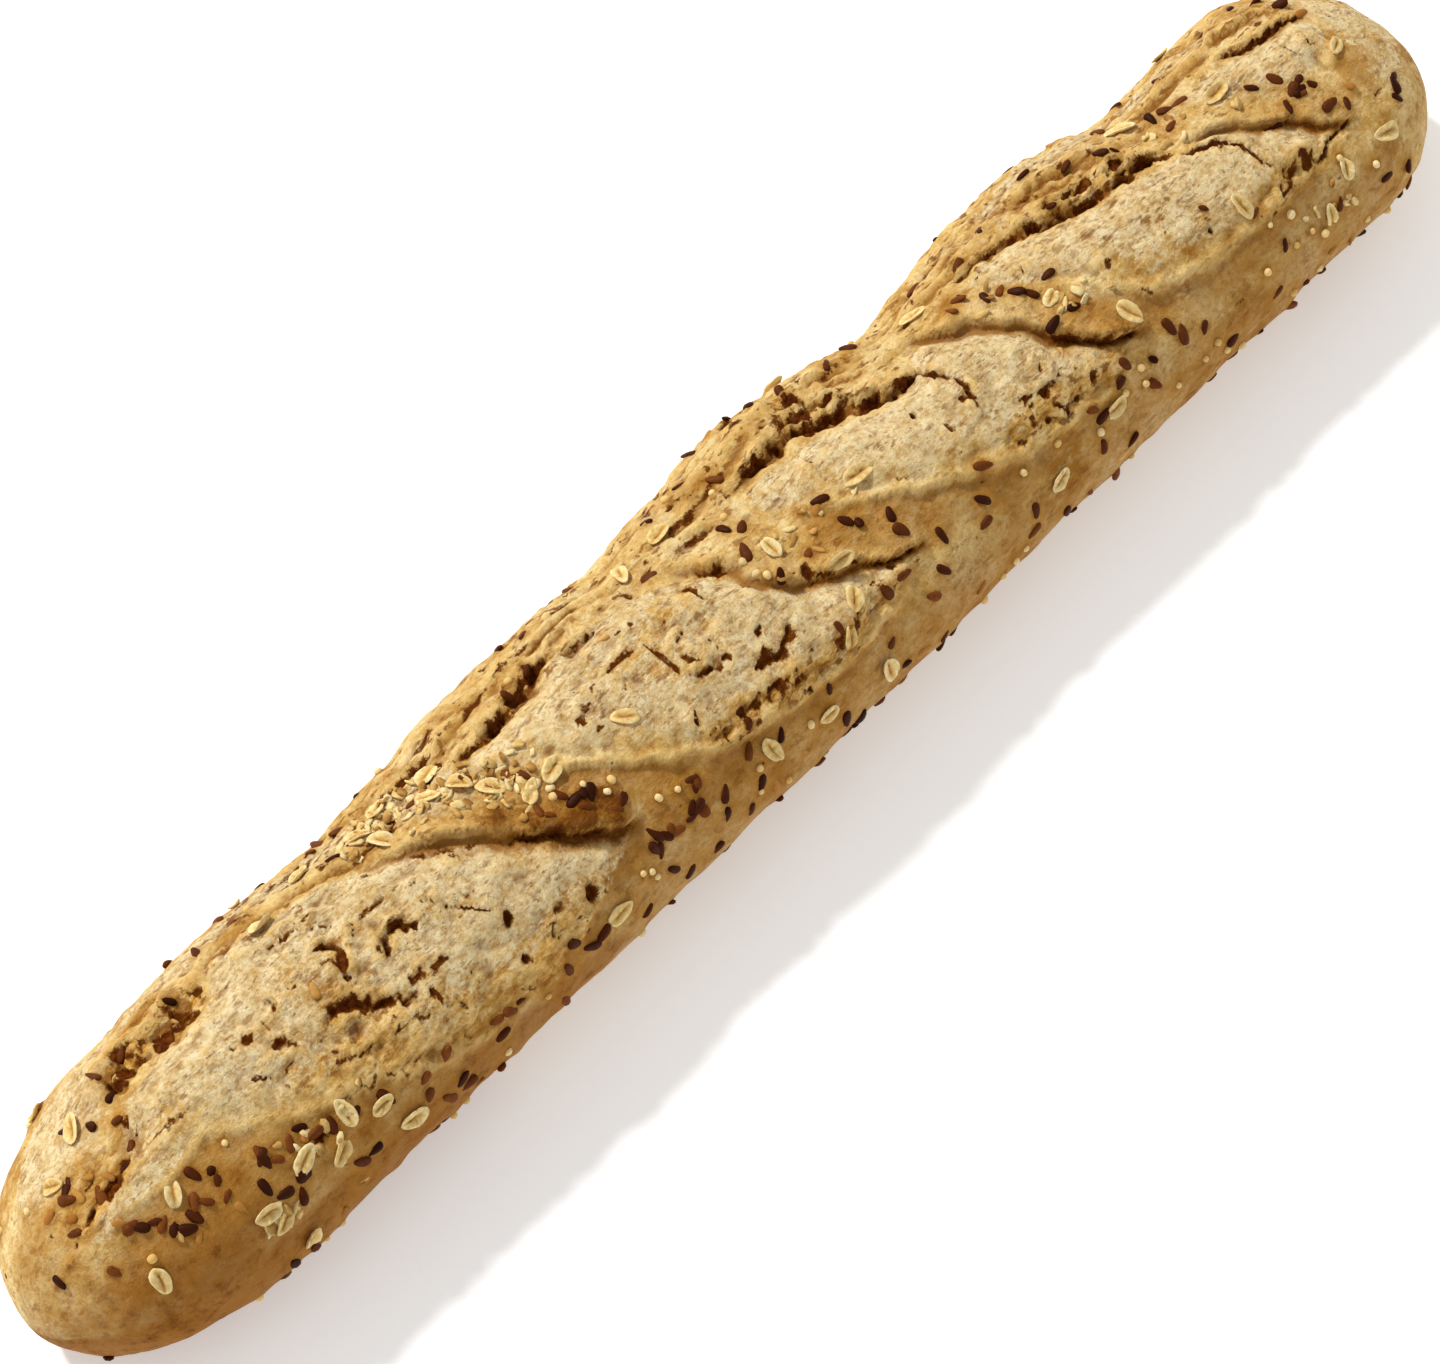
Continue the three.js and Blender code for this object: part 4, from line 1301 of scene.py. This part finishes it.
# chips of oat: small ragged discs, strewn round the trails' lines and tipped every way
def strewFragments():
    chance = np.random.default_rng(12)
    spots = []
    for count, stray, trail in fragmentTrails:
        line = smoothLine(trail)
        share = chance.uniform(0, len(line) - 1, count)
        corner = np.floor(share).astype(int)
        along = line[corner] + (line[corner + 1] - line[corner]) * (share - corner)[:, None]
        spots.append(along + chance.normal(0, stray, along.shape))
    spots = np.vstack(spots)
    count = len(spots)
    corners = 7
    angle = np.arange(corners) / corners * 2 * np.pi
    rim = np.stack([np.cos(angle), np.sin(angle), 0.5 * np.sin(3 * angle)], 1) * 0.5
    template = np.vstack([[[0, 0, -0.4]], rim - [0, 0, 0.2], rim * 0.96 + [0, 0, 0.25], [[0, 0, 0.1]]])
    sizes = [(1.8, 4.6), (1.2, 2.6), (0.7, 1.5)]  # least and most length, width and thickness
    scale = np.stack([chance.uniform(*size, count) for size in sizes], 1)
    spin = chance.uniform(0, 7, count)
    points = scatterCopies(template, spots, spin, scale, chance.uniform(0, 0.6, count), 0.4, chance)
    points += np.repeat(chance.normal(0, 0.05, (count, 3)), len(template), axis=0)
    tone = np.repeat(chance.uniform(0.1, 1, count), len(template))
    tone = (tone + chance.normal(0, 0.12, len(tone))).clip(0, 1)
    faces = repeatFaces(skinFaces(2, corners), len(template), count)
    piece = makePiece("oat_fragments", points, faces, {"tone": tone}, oatFinish)
    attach(piece, "root")
    print("oat fragments", count)


strewFragments()

stage = {
    "floorHalf": 30, "floorDrop": 0.0002, "floorColour": (0.93, 0.93, 0.93, 1), "floorGlow": 0.3,
    "roomColour": (1, 0.99, 0.975, 1), "roomStrength": 0.56,
    "keyStrength": 2.9, "keyAngle": 7, "keyFrom": (-0.12, 0.9, 1.05),
}


# a pale seamless floor, and soft light from above the +Y side
def setStage():
    floor = bpy.data.meshes.new("floor")
    corners = [(-1, -1), (1, -1), (1, 1), (-1, 1)]
    half = stage["floorHalf"]
    floor.from_pydata([(x * half, y * half, -stage["floorDrop"]) for x, y in corners], [], [(0, 1, 2, 3)])
    floorFinish = bpy.data.materials.new("pale floor")
    floorFinish.use_nodes = True
    shader = floorFinish.node_tree.nodes["Principled BSDF"]
    shader.inputs["Base Color"].default_value = stage["floorColour"]
    shader.inputs["Roughness"].default_value = 0.9
    shader.inputs["Specular IOR Level"].default_value = 0.1
    shader.inputs["Emission Color"].default_value = (1, 1, 1, 1)
    shader.inputs["Emission Strength"].default_value = stage["floorGlow"]
    floor.materials.append(floorFinish)
    floorPiece = bpy.data.objects.new("floor", floor)
    scene.collection.objects.link(floorPiece)

    world = bpy.data.worlds.new("soft room")
    scene.world = world
    world.use_nodes = True
    world.node_tree.nodes["Background"].inputs["Color"].default_value = stage["roomColour"]
    world.node_tree.nodes["Background"].inputs["Strength"].default_value = stage["roomStrength"]

    lamp = bpy.data.lights.new("key", "SUN")
    lamp.energy = stage["keyStrength"]
    lamp.angle = np.radians(stage["keyAngle"])
    lampObject = bpy.data.objects.new("key", lamp)
    lampObject.rotation_euler = Vector(stage["keyFrom"]).to_track_quat("Z", "Y").to_euler()
    scene.collection.objects.link(lampObject)


view = {
    "azimuth": -47.606,
    "elevation": 60,
    "distance": 1.3,
    "lens": 135.6,
    "middle": (0, -0.00187, 0.025),
    "aimRight": -0.00587,  # the aim is this far off the middle, to the right and up
    "aimUp": -0.01446,
}


# the camera stands off the middle at azimuth and elevation, and aims a little beside it without rolling
def setCamera():
    azimuth = np.radians(view["azimuth"])
    elevation = np.radians(view["elevation"])
    level = np.cos(elevation)
    back = Vector((np.sin(azimuth) * level, -np.cos(azimuth) * level, np.sin(elevation)))
    right = Vector((np.cos(azimuth), np.sin(azimuth), 0))
    up = back.cross(right)
    middle = Vector(view["middle"])
    position = middle + back * view["distance"]
    back = (position - (middle + right * view["aimRight"] + up * view["aimUp"])).normalized()
    right = (right - back * right.dot(back)).normalized()
    up = back.cross(right)
    camera = bpy.data.objects.new("camera", bpy.data.cameras.new("camera"))
    camera.data.lens = view["lens"]
    camera.matrix_world = Matrix.Translation(position) @ Matrix((right, up, back)).transposed().to_4x4()
    scene.collection.objects.link(camera)
    scene.camera = camera


setStage()
setCamera()
scene.view_settings.view_transform = "Standard"
print("stage, lights and camera set")
